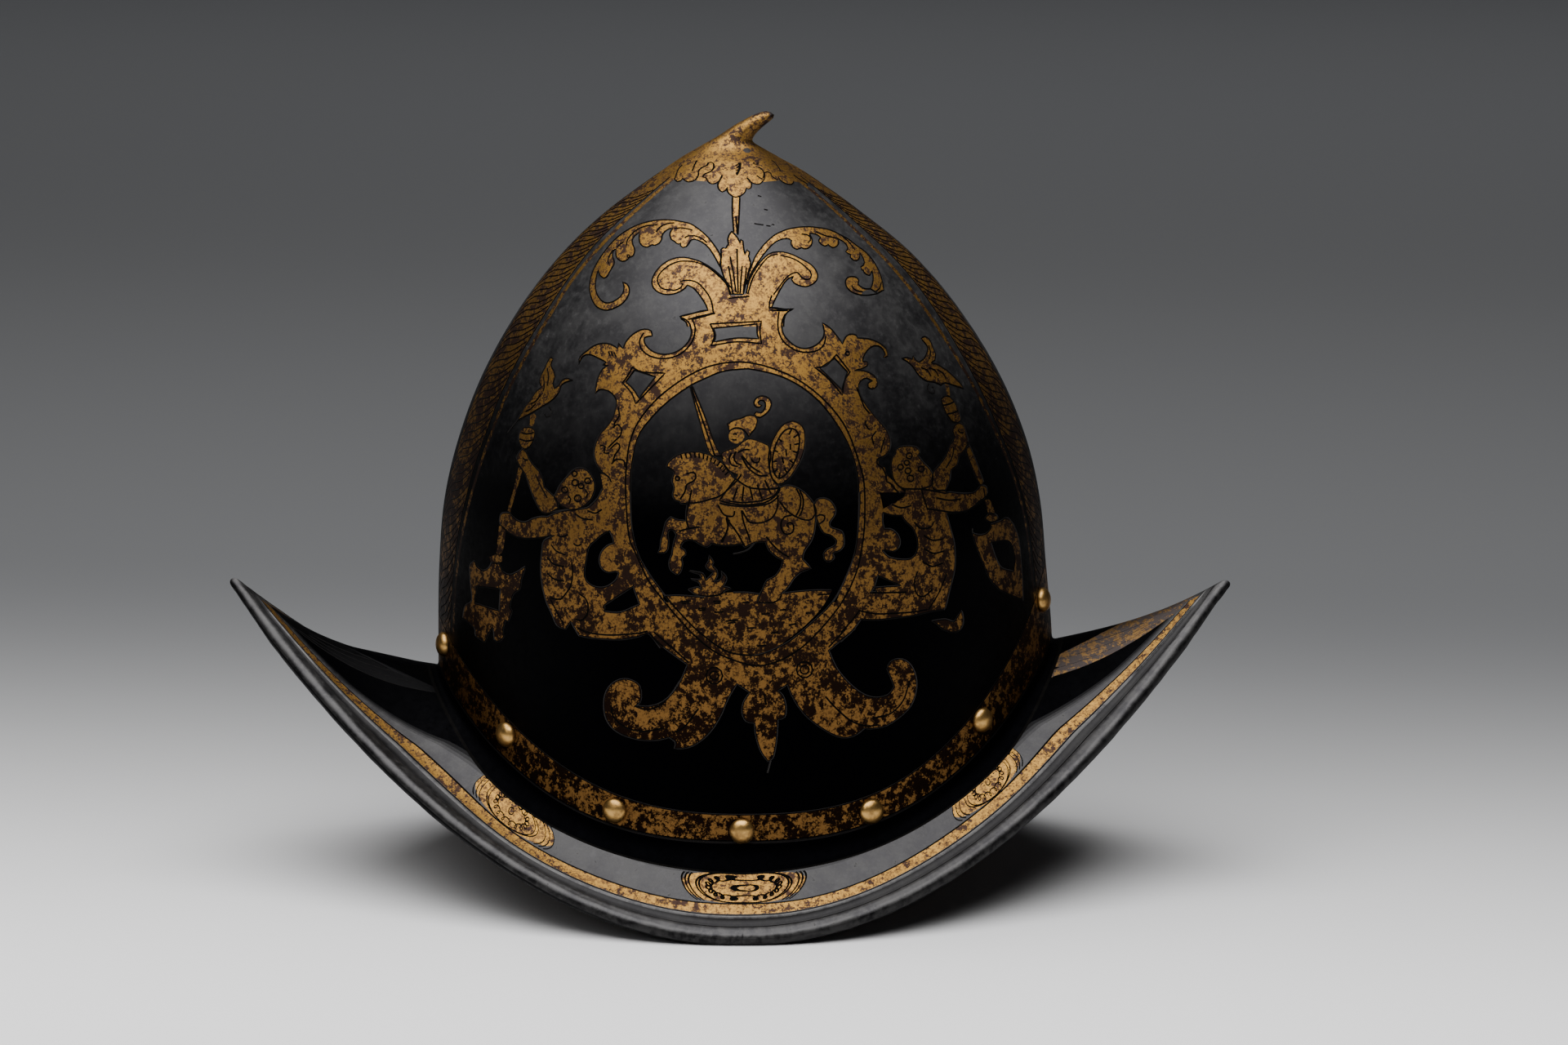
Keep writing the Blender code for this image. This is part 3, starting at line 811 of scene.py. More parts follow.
@dataclass(frozen=True)
class StalkForm:
    """The stalk's outline in the plane X = 0.

    Args:
        cap_height: Height of the ring on the skull that it grows from.
        columns: Steps round one half of a ring.
        rows_between: Rings from one row of the flanks to the next.
        flanks: Along and up of the front flank, the same of the rear one, and half the thickness.
        tip: The middle of its blunt end.
        gilt: Gold at the tip and, were it not cut off at 1, at the foot.
    """

    cap_height: float = 0.2558
    columns: int = 48
    rows_between: int = 5
    flanks: tuple = (
        (-0.0099, 0.2628, 0.0125, 0.2616, 0.0074),
        (-0.0040, 0.2662, 0.0085, 0.2642, 0.0046),
        (0.0019, 0.2701, 0.0091, 0.2665, 0.0037),
        (0.0079, 0.2734, 0.0116, 0.2692, 0.0031),
        (0.0124, 0.2750, 0.0144, 0.2715, 0.0024),
        (0.0146, 0.2748, 0.0157, 0.2727, 0.0014),
    )
    tip: tuple = (0.0, 0.0160, 0.2738)
    gilt: tuple = (0.1, 2.4)

    def rows(self, form: HelmetForm) -> np.ndarray:
        """Rings from the tip down to the cap's ring on the skull.

        Each ring is its middle, plus the way to its front or rear flank times the sine of the turn,
        plus half the thickness times the cosine across. The flanks run on smooth curves.

        Args:
            form: The helmet's form.

        Returns:
            Points by ring and column.
        """
        turns = form.even_turn(np.linspace(-QUARTER_TURN, QUARTER_TURN, self.columns + 1))
        ends = form.skull(np.array((-QUARTER_TURN, QUARTER_TURN, 0.0)), np.full(3, self.cap_height))
        base = (ends[0, 1], ends[0, 2], ends[1, 1], ends[1, 2], ends[2, 0], ends[2, 1])
        table = [(*row, (row[0] + row[2]) / 2) for row in self.flanks]
        stations = np.array([base, *table])
        steps = len(self.flanks) * self.rows_between
        places = np.linspace(0, len(self.flanks), steps + 1)
        smooth = smooth_columns(stations, places)
        middle_z = (smooth[:, 1] + smooth[:, 3]) / 2
        sine, cosine = np.sin(turns), np.abs(np.cos(turns)) ** form.keel_power
        front, rear = np.maximum(-sine, 0.0), np.maximum(sine, 0.0)
        middle = 1.0 - np.abs(sine)
        y = np.outer(smooth[:, 0] - smooth[:, 5], front) + np.outer(smooth[:, 2] - smooth[:, 5], rear)
        y += smooth[:, 5:6]
        z = np.outer(smooth[:, 1], front) + np.outer(smooth[:, 3], rear) + np.outer(middle_z, middle)
        x = np.outer(smooth[:, 4], cosine)
        x[:, [0, -1]] = 0.0
        return np.stack([x, y, z], axis=-1)[::-1]


def smooth_columns(table: np.ndarray, places: np.ndarray) -> np.ndarray:
    """Each column of a table read at row numbers between its rows, on the curve of smooth_line."""
    last = len(table) - 1
    slopes = np.gradient(table, axis=0)
    low = np.clip(places.astype(int), 0, last - 1)
    t = (places - low)[:, None]
    return cubic(table[low], table[low + 1], slopes[low], slopes[low + 1], t)


def bowed(start: np.ndarray, corner: np.ndarray, stop: np.ndarray, t: float) -> np.ndarray:
    """Points on curves of second degree, from starts to stops with corners as their middle points."""
    return start * (1 - t) ** 2 + 2 * corner * t * (1 - t) + stop * t * t


def fan_patch(ring: np.ndarray, pole: np.ndarray, gilt: float, inside: float = 0.0) -> Patch:
    """Close a ring with triangles.

    Args:
        ring: Points that run from left to right.
        pole: The point above them that all triangles share.
        gilt: How much gold they carry.
        inside: 1 where they line the helmet.

    Returns:
        The patch, shaded by its own faces.
    """
    points = np.concatenate([pole[None], ring])
    steps = np.arange(1, len(ring))
    faces = np.stack([np.zeros_like(steps), steps, steps + 1], axis=1)
    count = len(faces)
    return Patch(points, faces, np.full(count, gilt), np.zeros(count), np.zeros((count, 3, 3)), inside)


@dataclass
class HelmetShell:
    """Skull, brim, turned edge and stalk in one piece, hollow, with its ornament etched and gilt."""

    form: HelmetForm
    stalk: StalkForm
    columns: int = 232
    side_step: float = 0.0024
    fillet_up: float = 0.0030
    fillet_out: Around = Around(0.0080, 0.0030, 0.0030, 3.0, 3.0)
    border_line: float = 0.0008
    border_line_depth: float = 0.00016
    fillet_rows: int = 6
    ornament_inset: float = 0.0112
    brim_spacing: float = 3.0
    edge_columns: tuple = ("inset", "lift", "etched", "rubbed")
    edge_rows: tuple = (
        (0.01120, 0.0, 1.0, 0.0),
        (0.01095, -0.00025, 1.0, 0.0),
        (0.01070, 0.00002, 0.0, 0.55),
        (0.01010, 0.00004, 0.0, 0.55),
        # The etched marks on the groove's rows, insets 9.6 to 6.1 mm, are painted shade in the groove; the
        # two rows at 11.2 and 10.95 mm are the sunk line itself.
        (0.00960, -0.00035, 0.45, 0.0),
        (0.00860, -0.00080, 0.45, 0.0),
        (0.00740, -0.00090, 0.45, 0.0),
        (0.00650, -0.00070, 1.0, 0.0),
        (0.00610, -0.00080, 1.0, 0.0),
        (0.00580, -0.00030, 0.0, 0.25),
        (0.00500, -0.00006, 0.0, 0.25),
        (0.00400, 0.0, 0.0, 0.25),
    )
    roll_degrees: tuple = (90, -186, -12)
    roll_rubbed: tuple = (0.25, 0.38, 0.38, 0.38, 0.22, 0.22, 0.22, 0.22, 0.22)
    dents: tuple = ((91, 3.1, 0.0), (57, -2.3, 1.0), (143, 1.0, 0.0))
    dent_depth: float = 0.012
    band_line_dark: float = 0.4
    inner_skull_rows: int = 16
    inner_skull_power: float = 1.3
    inner_fillet: tuple = (0.33, 0.67)
    inner_brim_rows: int = 6
    inner_edge: tuple = (0.0078, 0.0009)
    cap_thickness: float = 0.0016
    crease: float = math.radians(42)

    def angles(self) -> np.ndarray:
        """Angles of the columns that all strips share."""
        return np.linspace(-QUARTER_TURN, QUARTER_TURN, self.columns + 1)

    def turns(self) -> np.ndarray:
        """Turns of the columns."""
        return self.form.even_turn(self.angles())

    def band_foot(self, turns: np.ndarray) -> np.ndarray:
        """Height where the skull's wall passes into the fillet."""
        return self.form.rise(turns, self.form.corner) + self.fillet_up

    def brim_top(self, turns: np.ndarray) -> np.ndarray:
        """Inset of the foot of the fillet."""
        _, _, stretch, length = self.form.brim_frame(turns)
        return (length - self.form.rise(turns, self.fillet_out)) / stretch

    def skull_border(self) -> np.ndarray:
        """The skull sheet's border: the rivet band's foot, the rear, the stalk's ring and the front."""
        low = self.band_foot(self.turns()) + self.border_line
        ring = np.linspace(-QUARTER_TURN, QUARTER_TURN, self.stalk.columns + 1)[::-1]
        high = np.stack([ring, np.full(len(ring), self.stalk.cap_height)], axis=1)
        return self._border(np.stack([self.angles(), low], axis=1), high)

    def brim_border(self) -> np.ndarray:
        """The brim sheet's border: beside the turned edge, the rear, the fillet's foot, the front."""
        angles, turns = self.angles(), self.turns()
        top = (self.brim_top(turns) - self.border_line) / self.form.narrow(turns)
        low = np.stack([angles, np.full(len(angles), self.ornament_inset)], axis=1)
        return self._border(low, np.stack([angles, top], axis=1)[::-1])

    def _border(self, low: np.ndarray, high: np.ndarray) -> np.ndarray:
        """Close a sheet's border.

        Args:
            low: Its lower places, from the front to the rear.
            high: Its upper places, from the rear to the front.

        Returns:
            Both with the places between them at the rear and the front.
        """
        rear = (QUARTER_TURN, low[-1, 1], high[0, 1])
        front = (-QUARTER_TURN, high[-1, 1], low[0, 1])
        sides = []
        for angle, start, stop in (rear, front):
            heights = np.linspace(start, stop, int(abs(stop - start) / self.side_step))[1:-1]
            sides.append(np.stack([np.full(len(heights), angle), heights], axis=1))
        return np.concatenate([low, sides[0], high, sides[1]])

    def fillet_patch(self) -> Patch:
        """The rivet band's lower line, the fillet and the brim's inner line.

        The fillet is a curve of second degree from the wall to the brim, with the corner where the
        two would meet as its middle point.
        """
        turns = self.turns()
        foot = self.band_foot(turns)
        corner = self.form.ruling(turns, 0.0 * turns)
        wall = self.form.skull(turns, foot)
        top = self.brim_top(turns)
        start = self.form.brim(turns, top)
        rows = [
            self.form.skull(turns, foot + self.border_line),
            self._sunk(self.form.skull(turns, foot + self.border_line / 2)),
        ]
        for t in np.linspace(0.0, 1.0, self.fillet_rows + 1):
            rows.append(bowed(wall, corner, start, t))
        rows.append(self._sunk(self.form.brim(turns, top - self.border_line / 2)))
        rows.append(self.form.brim(turns, top - self.border_line))
        grid = np.array(rows)
        grid[:, [0, -1], 0] = 0.0
        strips = len(rows) - 1
        etched = np.zeros(strips)
        etched[[0, 1]] = self.band_line_dark
        etched[[-2, -1]] = 1.0
        # Gilt -1 puts painted shade on every strip: the fillet and its lines stay black where they face up.
        return strip_patch(grid, np.full(strips, -1.0), etched)

    def _sunk(self, points: np.ndarray) -> np.ndarray:
        """Points let into the metal by the depth of a border line, towards the helmet's middle."""
        inward = unit(points * np.array((-1.0, -1.0, 0.0)))
        return points + inward * self.border_line_depth

    def edge_patch(self) -> Patch:
        """The sunk line beside the edge and the turned edge itself, round to its underside.

        A row's marks belong to the strip between it and the next one.
        """
        turns = self.turns()
        outward, upward, stretch, _ = self.form.brim_frame(turns)
        fade = np.minimum(self.form.edge(turns)[:, 0] / self.form.tip_blend, 1.0)[:, None]
        radius, narrow = self.form.radius_of_roll(turns), self.form.narrow(turns)
        rows = []
        table = dict(zip(self.edge_columns, np.array(self.edge_rows).T))
        for inset, lift in zip(table["inset"], table["lift"]):
            rows.append(self.form.brim(turns, inset * narrow) + upward * (lift * fade))
        centre = self.form.edge(turns) - (outward * stretch[:, None] + upward) * radius[:, None]
        for degrees in range(*self.roll_degrees):
            a = math.radians(degrees)
            arm = outward * (stretch[:, None] * math.cos(a)) + upward * math.sin(a)
            rows.append(centre + arm * (radius * self._wear(turns, a))[:, None])
        grid = np.array(rows)
        grid[:, [0, -1], 0] = 0.0
        grid[..., 2] = np.maximum(grid[..., 2], 0.0)
        strips = len(rows) - 1
        etched, rubbed = np.zeros(strips), np.zeros(strips)
        etched[: len(self.edge_rows)] = table["etched"]
        worn = np.concatenate([table["rubbed"], self.roll_rubbed])
        rubbed[: len(worn)] = worn
        patch = strip_patch(grid, np.zeros(strips), etched)
        patch.rubbed = np.repeat(rubbed, len(turns) - 1)
        return patch

    def _wear(self, turns: np.ndarray, a: float) -> np.ndarray:
        """How far the hammered edge keeps its radius: small dents as a sum of sine waves."""
        waves = sum(np.sin(turns * often + around * a + start) for often, around, start in self.dents)
        return 1.0 - self.dent_depth * (waves + len(self.dents))

    def inner_patches(self) -> list[Patch]:
        """The face towards the head: the outer face set inwards by the wall, closed under the stalk."""
        turns = self.turns()
        foot = self.band_foot(turns)
        top = self.brim_top(turns)
        rows = []
        for share in np.linspace(0.0, 1.0, self.inner_skull_rows + 1)[1:] ** self.inner_skull_power:
            rows.append(self.form.skull(turns, self.form.top + (foot - self.form.top) * share))
        corner, narrow = self.form.ruling(turns, 0.0 * turns), self.form.narrow(turns)
        wall, start = rows[-1], self.form.brim(turns, top)
        for t in self.inner_fillet:
            rows.append(bowed(wall, corner, start, t))
        for share in np.linspace(0.0, 1.0, self.inner_brim_rows + 1):
            rows.append(self.form.brim(turns, top + (self.ornament_inset * narrow - top) * share))
        _, upward, _, _ = self.form.brim_frame(turns)
        inset, drop = self.inner_edge
        rows.append(self.form.brim(turns, inset * narrow) - upward * drop)
        outer = np.array(rows)
        normals = self._grid_normals(outer)
        brim = slice(self.inner_skull_rows + len(self.inner_fillet), None)
        normals[brim, :, 0] *= np.clip(outer[brim, :, 0] / self.form.tip_blend, 0.0, 1.0)
        inner = outer - self.form.wall * normals
        inner[:, [0, -1], 0] = 0.0
        inner[..., 2] = np.maximum(inner[..., 2], 0.0)
        summit = (0.0, self.form.set_back, self.form.top - self.cap_thickness)
        pole = np.array(self.form.stand) + np.array(summit)
        last = self.edge_patch().points.reshape(-1, len(turns), 3)[-1]
        rows_up = np.concatenate([last[None], inner[::-1]])
        strips = len(rows_up) - 1
        closing = fan_patch(inner[0], pole, 0.0, 1.0)
        closing.faces = closing.faces[:, ::-1]
        return [strip_patch(rows_up, np.zeros(strips), np.zeros(strips), 1.0), closing]

    def _grid_normals(self, grid: np.ndarray) -> np.ndarray:
        """Outward unit normals of a grid of rows and columns, across its mirror plane too."""
        down = np.gradient(grid, axis=0)
        flip = np.array((-1.0, 1.0, 1.0))
        wide = np.concatenate([grid[:, 1:2] * flip, grid, grid[:, -2:-1] * flip], axis=1)
        along = wide[:, 2:] - wide[:, :-2]
        return unit(np.cross(down, along))

    def stalk_patches(self) -> list[Patch]:
        """The stalk from its blunt tip down to the ring on the skull."""
        rows = self.stalk.rows(self.form)
        strips = len(rows) - 1
        gilt = np.clip(np.linspace(*self.stalk.gilt, strips), 0.0, 1.0)
        sides = strip_patch(rows, gilt, np.zeros(strips))
        return [sides, fan_patch(rows[0], np.array(self.stalk.tip), self.stalk.gilt[0])]

    def build(self, drawing: "Drawing") -> bpy.types.Object:
        """Cut, bend and join the whole shell.

        Args:
            drawing: What is etched and gilt on the skull and the brim.

        Returns:
            The finished object, its faces marked for an outside finish and an inside one.
        """
        skull = Sheet(SkullChart(self.form), self.skull_border())
        drawing.draw_skull(skull)
        brim = Sheet(BrimChart(self.form), self.brim_border(), spacing=self.brim_spacing)
        drawing.draw_brim(brim)
        half = [skull.cut(), brim.cut(), self.fillet_patch(), self.edge_patch()]
        half += self.inner_patches() + self.stalk_patches()
        patches = half + [patch.mirrored() for patch in half]
        return placed("helmet", joined_mesh("helmet", patches, self.crease))


def placed(name: str, mesh: bpy.types.Mesh) -> bpy.types.Object:
    """An object at the origin for a mesh."""
    made = bpy.data.objects.new(name, mesh)
    bpy.context.scene.collection.objects.link(made)
    return made


class Mark(Enum):
    """What a line of the drawing stands for."""

    GOLD = "gold inside the line"
    EDGED = "gold inside it and an etched outline"
    BARE = "steel inside the line"
    CUT = "steel inside it and an etched outline"
    LINE = "an etched line"
    RING = "an etched ring, given by its middle and radius"


@dataclass(frozen=True)
class Panel:
    """One sheet of the drawing, enlarged by its scale from its corner in the picture.

    Each mark is followed by its lines, parted by bars, as points of the enlarged sheet. Square
    brackets hold the stretches of a gilt outline that are etched too.
    """

    name: str
    corner: tuple
    scale: float
    marks: tuple
    ring_points: int = 11

    def lines(self, step: float) -> Iterator[tuple[Mark, np.ndarray]]:
        """Every mark with its line, followed by the etched stretches of that line.

        Args:
            step: The greatest length of a piece of a line.

        Yields:
            The mark and the line's points, both in pixels of the picture.
        """
        fine = step * self.scale
        for mark, text in self.marks:
            for part in text.split("|"):
                if mark is Mark.RING:
                    yield mark, self._in_picture(self._ring(part))
                    continue
                outline = part.replace("[", "").replace("]", "")
                yield mark, self._in_picture(traced(outline, fine))
                for stretch in part.split("[")[1:]:
                    yield Mark.LINE, self._in_picture(traced(stretch.split("]")[0], fine))

    def _ring(self, text: str) -> np.ndarray:
        """A circle from its middle and radius."""
        x, y, radius = (float(value) for value in text.split(","))
        turn = np.linspace(0.0, FULL_TURN, self.ring_points)
        return np.stack([x + radius * np.cos(turn), y + radius * np.sin(turn)], axis=1)

    def _in_picture(self, line: np.ndarray) -> np.ndarray:
        """Picture points of the enlarged sheet's points."""
        return np.array(self.corner) + line / self.scale


CREST = Panel("leaf crest under the stalk", (760, 180), 5.227, (
    (Mark.GOLD, """[350,190! 345,207 360,222 385,216! 397,200 412,216 440,224 478,210 498,180! 500,150
        525,130 552,118 560,103 578,97 595,108 597,130 580,155 550,168 530,180 527,194 545,197! 555,214
        570,232 595,236 622,226 645,195 652,178! 633,215 622,242 628,270 650,288 670,280 683,255! 684,285
        705,308 735,322 772,310 795,290 805,262! 818,269 832,264 838,240 825,212 805,195! 830,222 855,235
        885,238 908,222 922,195 920,165! 940,158 960,168! 967,188 985,200 1003,212! 1010,195 1022,213
        1045,230 1070,238 1095,240 1110,220!] 1190,235! 1300,180! 1000,-120! 500,-120! 250,60! 240,245!
        300,215 350,190!"""),
    (Mark.LINE, """610,0 560,28 515,62 480,100 458,155 | 395,115 370,140 352,188 | 752,20 745,75 735,92 |
        765,85 752,110 738,118 | 768,100 757,125 742,135 | 768,118 757,142 740,152 | 762,140 752,160
        740,168 | 752,70 766,100 762,140 745,178 | 868,112 852,108 850,94 864,86 880,94 878,108 868,112 |
        880,128 905,145 918,170 912,195 | 870,182 888,196 905,205 | 890,45 940,68 985,100 1010,130
        1022,155 | 1108,180 1150,210 1192,235 1200,252"""),
    (Mark.GOLD, "712,322! 712,420 718,500 724,545! 748,560! 755,440 764,322! 712,322!"),
    (Mark.LINE, "716,322 715,420 724,542 | 762,322 758,430 750,560 | 738,440 746,555"),
    (Mark.EDGED, """712,540! 695,562 686,592 690,620! 672,650! 655,645 642,658 645,700 637,745 650,800
        672,860 690,900 705,942! 785,942! 800,880 818,800 832,745 818,700! 824,672 808,660 795,692!
        786,640 782,602 768,592 765,620! 750,585 712,540!"""),
    (Mark.LINE, """690,970 760,962 825,957 | 700,700 720,800 738,930 | 690,760 705,850 716,935 | 745,650
        748,800 752,930 | 778,760 770,850 765,935 | 805,770 795,860 785,930"""),
))

FRAME = Panel("upper frame of the picture", (690, 370), 3.7333, (
    (Mark.GOLD, """650,-30! [658,38! 600,50 535,67! 572,92 585,140 570,182 530,220 480,238 430,235 392,215
        370,185 372,162 405,155! 400,132 372,124 340,133 305,158 282,188 272,212! 262,203 252,188!
        247,213! 220,195 180,189 140,200 105,225 75,252 68,287! 88,250 115,240 145,250 195,275! 180,288
        205,290! 180,305 160,340 148,380 145,417! 168,400 200,405 228,425 242,455 236,495 222,535 195,572
        168,602 148,645 140,695 152,742 178,778 208,802 217,822!] 205,870! 1560,870! 1520,832 1500,812
        1475,788 1468,760 1440,738 [1440,715! 1465,705 1488,680 1495,640 1480,590 1440,540 1390,480
        1360,430 1350,390 1358,362 1385,348 1412,362! 1395,368 1392,388 1412,398 1435,382 1432,352
        1408,328 1370,314 1330,313! 1362,305 1388,292 1390,275 1368,270! 1373,248 1392,218 1422,200
        1452,208 1470,240 1462,252! 1482,248 1476,215 1440,185 1390,168 1345,165! 1338,152 1310,147
        1288,163 1276,192! 1250,155 1220,120 1184,95! 1192,140 1180,172 1150,200 1100,213 1058,200
        1018,165 1000,130 1000,85 1020,50 1050,30! 1000,35 945,25!] 962,-30! 650,-30!"""),
    (Mark.LINE, """690,50 630,63 575,78 | 590,82 602,120 592,172 562,215 520,245 470,258 420,255 375,235
        350,202 350,170 368,140 | 985,45 980,90 985,140 1010,185 1060,220 1110,230 1160,222 1190,195
        1200,155"""),
    (Mark.LINE, "670,100! 905,88! 898,130 905,190! 790,182 675,200! 690,150 670,100!"),
    (Mark.CUT, "685,120! 885,100! 885,140 892,168! 790,165 690,182! 695,150 685,120!"),
    (Mark.LINE, "315,298! 360,320 465,325! 330,465! 310,415 270,370! 295,335 315,298!"),
    (Mark.CUT, "325,312! 420,342! 345,440! 320,400 285,365! 325,312!"),
    (Mark.LINE, "1248,240! 1275,275 1310,320! 1285,360 1275,425! 1210,350 1150,300! 1200,290 1248,240!"),
    (Mark.CUT, "1240,258! 1298,320! 1272,400! 1172,302! 1240,258!"),
    (Mark.LINE, """250,480 255,520 235,550 230,575 | 225,575 245,560 265,580 260,610 235,635 205,665 |
        215,670 245,645 258,665 235,700 225,735 | 220,740 240,720 275,725 280,750 | 165,655 190,660
        185,690 210,690 | 205,225 212,245 | 218,227 226,248 | 231,230 240,250 | 1340,390 1360,440 1375,480
        1400,510 | 1385,540 1380,560 1400,585 | 1430,590 1410,620 1420,650 | 1470,620 1460,650 1450,690"""),
    (Mark.RING, "1298,235,9"),
))

LEFT_ARC = Panel("front strapwork arc", (700, 250), 7.84, (
    (Mark.GOLD, """1530,880! [1525,800 1480,740 1400,660 1320,600 1230,550 1130,520 1060,512 980,522
        900,560 830,620 785,690 770,750 785,805 830,845 900,868 980,862 1050,835 1090,805 1110,778!
        1160,800 1210,850 1250,905 1290,970 1307,1018! 1240,1027 1180,1045 1110,1060 1040,1078! 1055,1105
        1095,1130 1112,1176!] 1568,1176! 1568,880! 1530,880!"""),
    (Mark.LINE, """1520,870 1490,775 1400,680 1300,600 1200,560 1120,548 1040,550 960,575 880,630 832,690
        825,740 845,790 880,815 950,825 1000,825 1050,800 1065,770 1045,745 1075,733 1150,735 1210,757
        1270,815 1325,895 1350,970 1358,1035 | 1380,1047 1300,1070 1210,1095 1120,1105"""),
    (Mark.EDGED, """1432,610! 1425,490 1350,370 1290,300 1200,225 1130,185 1060,170 980,155 880,150
        790,158 700,178 620,205 540,245 460,300 400,355 350,410 290,490 240,570 205,640 180,720 170,800
        180,870 205,940 245,990 300,1015 350,1018 410,1000 480,960 530,905 552,850 550,800 525,765
        490,748! 503,800 493,850 460,895 400,935 340,950 290,930 250,880 230,820 228,760 240,680 255,630!
        262,660 278,692 305,710 340,697 357,665! 385,615 408,575 405,535 392,500 397,455 425,430! 425,490
        445,530 485,550 525,540 555,512! 588,498 603,460 600,420 586,385 582,345 605,305 650,270! 648,330
        655,372 685,405 730,412 768,392! 800,395 840,375 862,340 868,300! 890,268 930,240 970,232! 945,275
        945,310 958,340 988,358! 1005,375 1030,385 1045,370! 1045,400 1068,418 1100,408 1125,378 1142,348!
        1170,338 1215,348 1270,378 1320,425 1370,500 1410,575 1432,610!"""),
    (Mark.LINE, """525,398 535,345 580,285 650,232 740,205 820,198 | 810,268 850,220 910,190 985,180 |
        985,235 1060,228 1160,250 | 1085,325 1120,305 1180,305 1245,328 1300,370 | 355,575 350,530 370,480
        395,445 | 440,410 470,380 500,362"""),
    (Mark.RING, "545,500,12"),
))

RIGHT_ARC = Panel("rear strapwork arc", (910, 260), 7.84, (
    (Mark.GOLD, """0,790! [30,780 50,680 90,590 140,510 190,450 250,400 320,380 400,385 480,410 560,450
        640,495 690,545 715,600 705,655 660,695 600,715 540,705 490,680 465,645! 485,615! 440,635 400,672
        360,735 330,790 300,850 275,912! 330,920 400,930 485,930! 440,950 410,980 392,1030 388,1098!]
        0,1098! 0,790!"""),
    (Mark.LINE, """45,785 90,640 150,540 230,440 290,410 335,405 | 360,415 430,430 500,455 570,500 620,545
        645,570 655,600 640,640 600,645 560,625 540,595 520,578 480,585 430,615 380,670 330,740 292,790 |
        275,800 255,860 252,925 | 262,940 340,945 420,945"""),
    (Mark.EDGED, """20,700! 50,600 80,520 110,440 160,360 220,290 300,220 380,180 450,158 540,143 640,140
        720,148 800,160 870,185 940,220 1020,265 1090,320 1160,370 1220,430 1270,500 1310,580 1335,660
        1350,745! 1290,780! 1225,735! 1243,680 1248,620 1238,560! 1230,575 1215,608! 1190,600 1160,580
        1155,560! 1137,550 1130,522! 1152,512 1165,480! 1155,450 1140,415 1117,392! 1120,420 1110,452
        1085,467 1060,462! 1030,435 1030,403! 1010,398 985,378! 1005,345 985,305 950,275 905,252! 918,290
        900,325 860,340 830,325! 815,308 805,320! 785,325 745,305 725,270 742,240! 700,212 640,200 640,215
        660,255 662,295 652,322! 620,348 580,350 560,338! 548,348 515,356 480,338 460,305 465,270! 440,255
        390,255 320,280 260,330 200,400 150,470 110,530 70,600 40,680 20,700!"""),
    (Mark.EDGED, """1225,735! 1170,735 1130,715 1105,690 1110,655 1085,625 1040,618 1000,630 982,665
        990,710 1020,750 1070,780 1130,795 1200,797 1290,782! 1225,735!"""),
    (Mark.LINE, """1042,700 1060,735 1100,755 1150,765 | 1325,680 1310,730 1280,755 | 560,210 610,215
        645,240 645,270 620,292 | 695,185 760,215 830,235 905,250 | 955,235 1010,280 1050,330 1075,360"""),
    (Mark.BARE, """1150,760! 1220,740 1290,760 1330,800 1330,860 1290,900 1200,915 1150,880 1125,820
        1150,760!"""),
    (Mark.LINE, """140,-160 175,-150 | 200,-30 235,-20 | 105,108 150,116 195,122 | 222,128 262,133 |
        280,116 300,122"""),
))

LEFT_TERM = Panel("front half-figure, upper part", (560, 420), 6.272, (
    (Mark.EDGED, """885,288! 840,272 800,292 775,330 745,350! 735,310 750,260 740,215 718,170 735,120
        715,112 690,150 665,205 640,255 632,300 645,340! 600,380 560,440 520,490 480,560 430,640 385,690!
        450,610 500,575 540,555 600,520 650,490 700,460 750,420 785,370 800,325 840,300 885,288!"""),
    (Mark.LINE, """700,490 720,520 710,560 680,565 670,545 | 690,190 700,260 690,330 | 660,260 668,320
        660,370 | 560,470 600,450 640,400 | 520,530 560,510 600,470 | 480,590 520,565"""),
    (Mark.GOLD, "560,560! 590,540 605,560 580,640 555,640! 560,560!"),
    (Mark.EDGED, "545,645 590,665 595,710 575,770 540,810 500,810 475,760 475,700 500,655 545,645"),
    (Mark.LINE, "490,690 535,700 585,690 | 482,740 530,755 580,745"),
    (Mark.EDGED, """500,815! 530,840 550,890 590,945 630,990 655,1050 668,1110! 710,1150 760,1200
        775,1270! 700,1310 650,1300 600,1220 560,1120 530,1030 510,990 480,950 455,890 470,850 500,815!"""),
    (Mark.LINE, "600,1010 640,1100 690,1190 | 500,880 520,900 540,900"),
    (Mark.GOLD, "470,960! 500,970 440,1180 405,1300! 385,1290 430,1130 470,960!"),
    (Mark.EDGED, """760,1150! 790,1090 840,1030 880,985 930,960 985,972 1030,1020 1055,1085 1048,1150
        1015,1215 960,1260 880,1285 800,1250 745,1195 760,1150!"""),
    (Mark.RING, "905,1075,24 | 950,1100,20 | 825,1130,24 | 925,1195,26 | 900,1005,20 | 1000,1060,22"),
    (Mark.LINE, "700,1310 780,1290 860,1280 | 850,1170 870,1200 860,1235 | 985,1130 1000,1160 985,1190"),
))

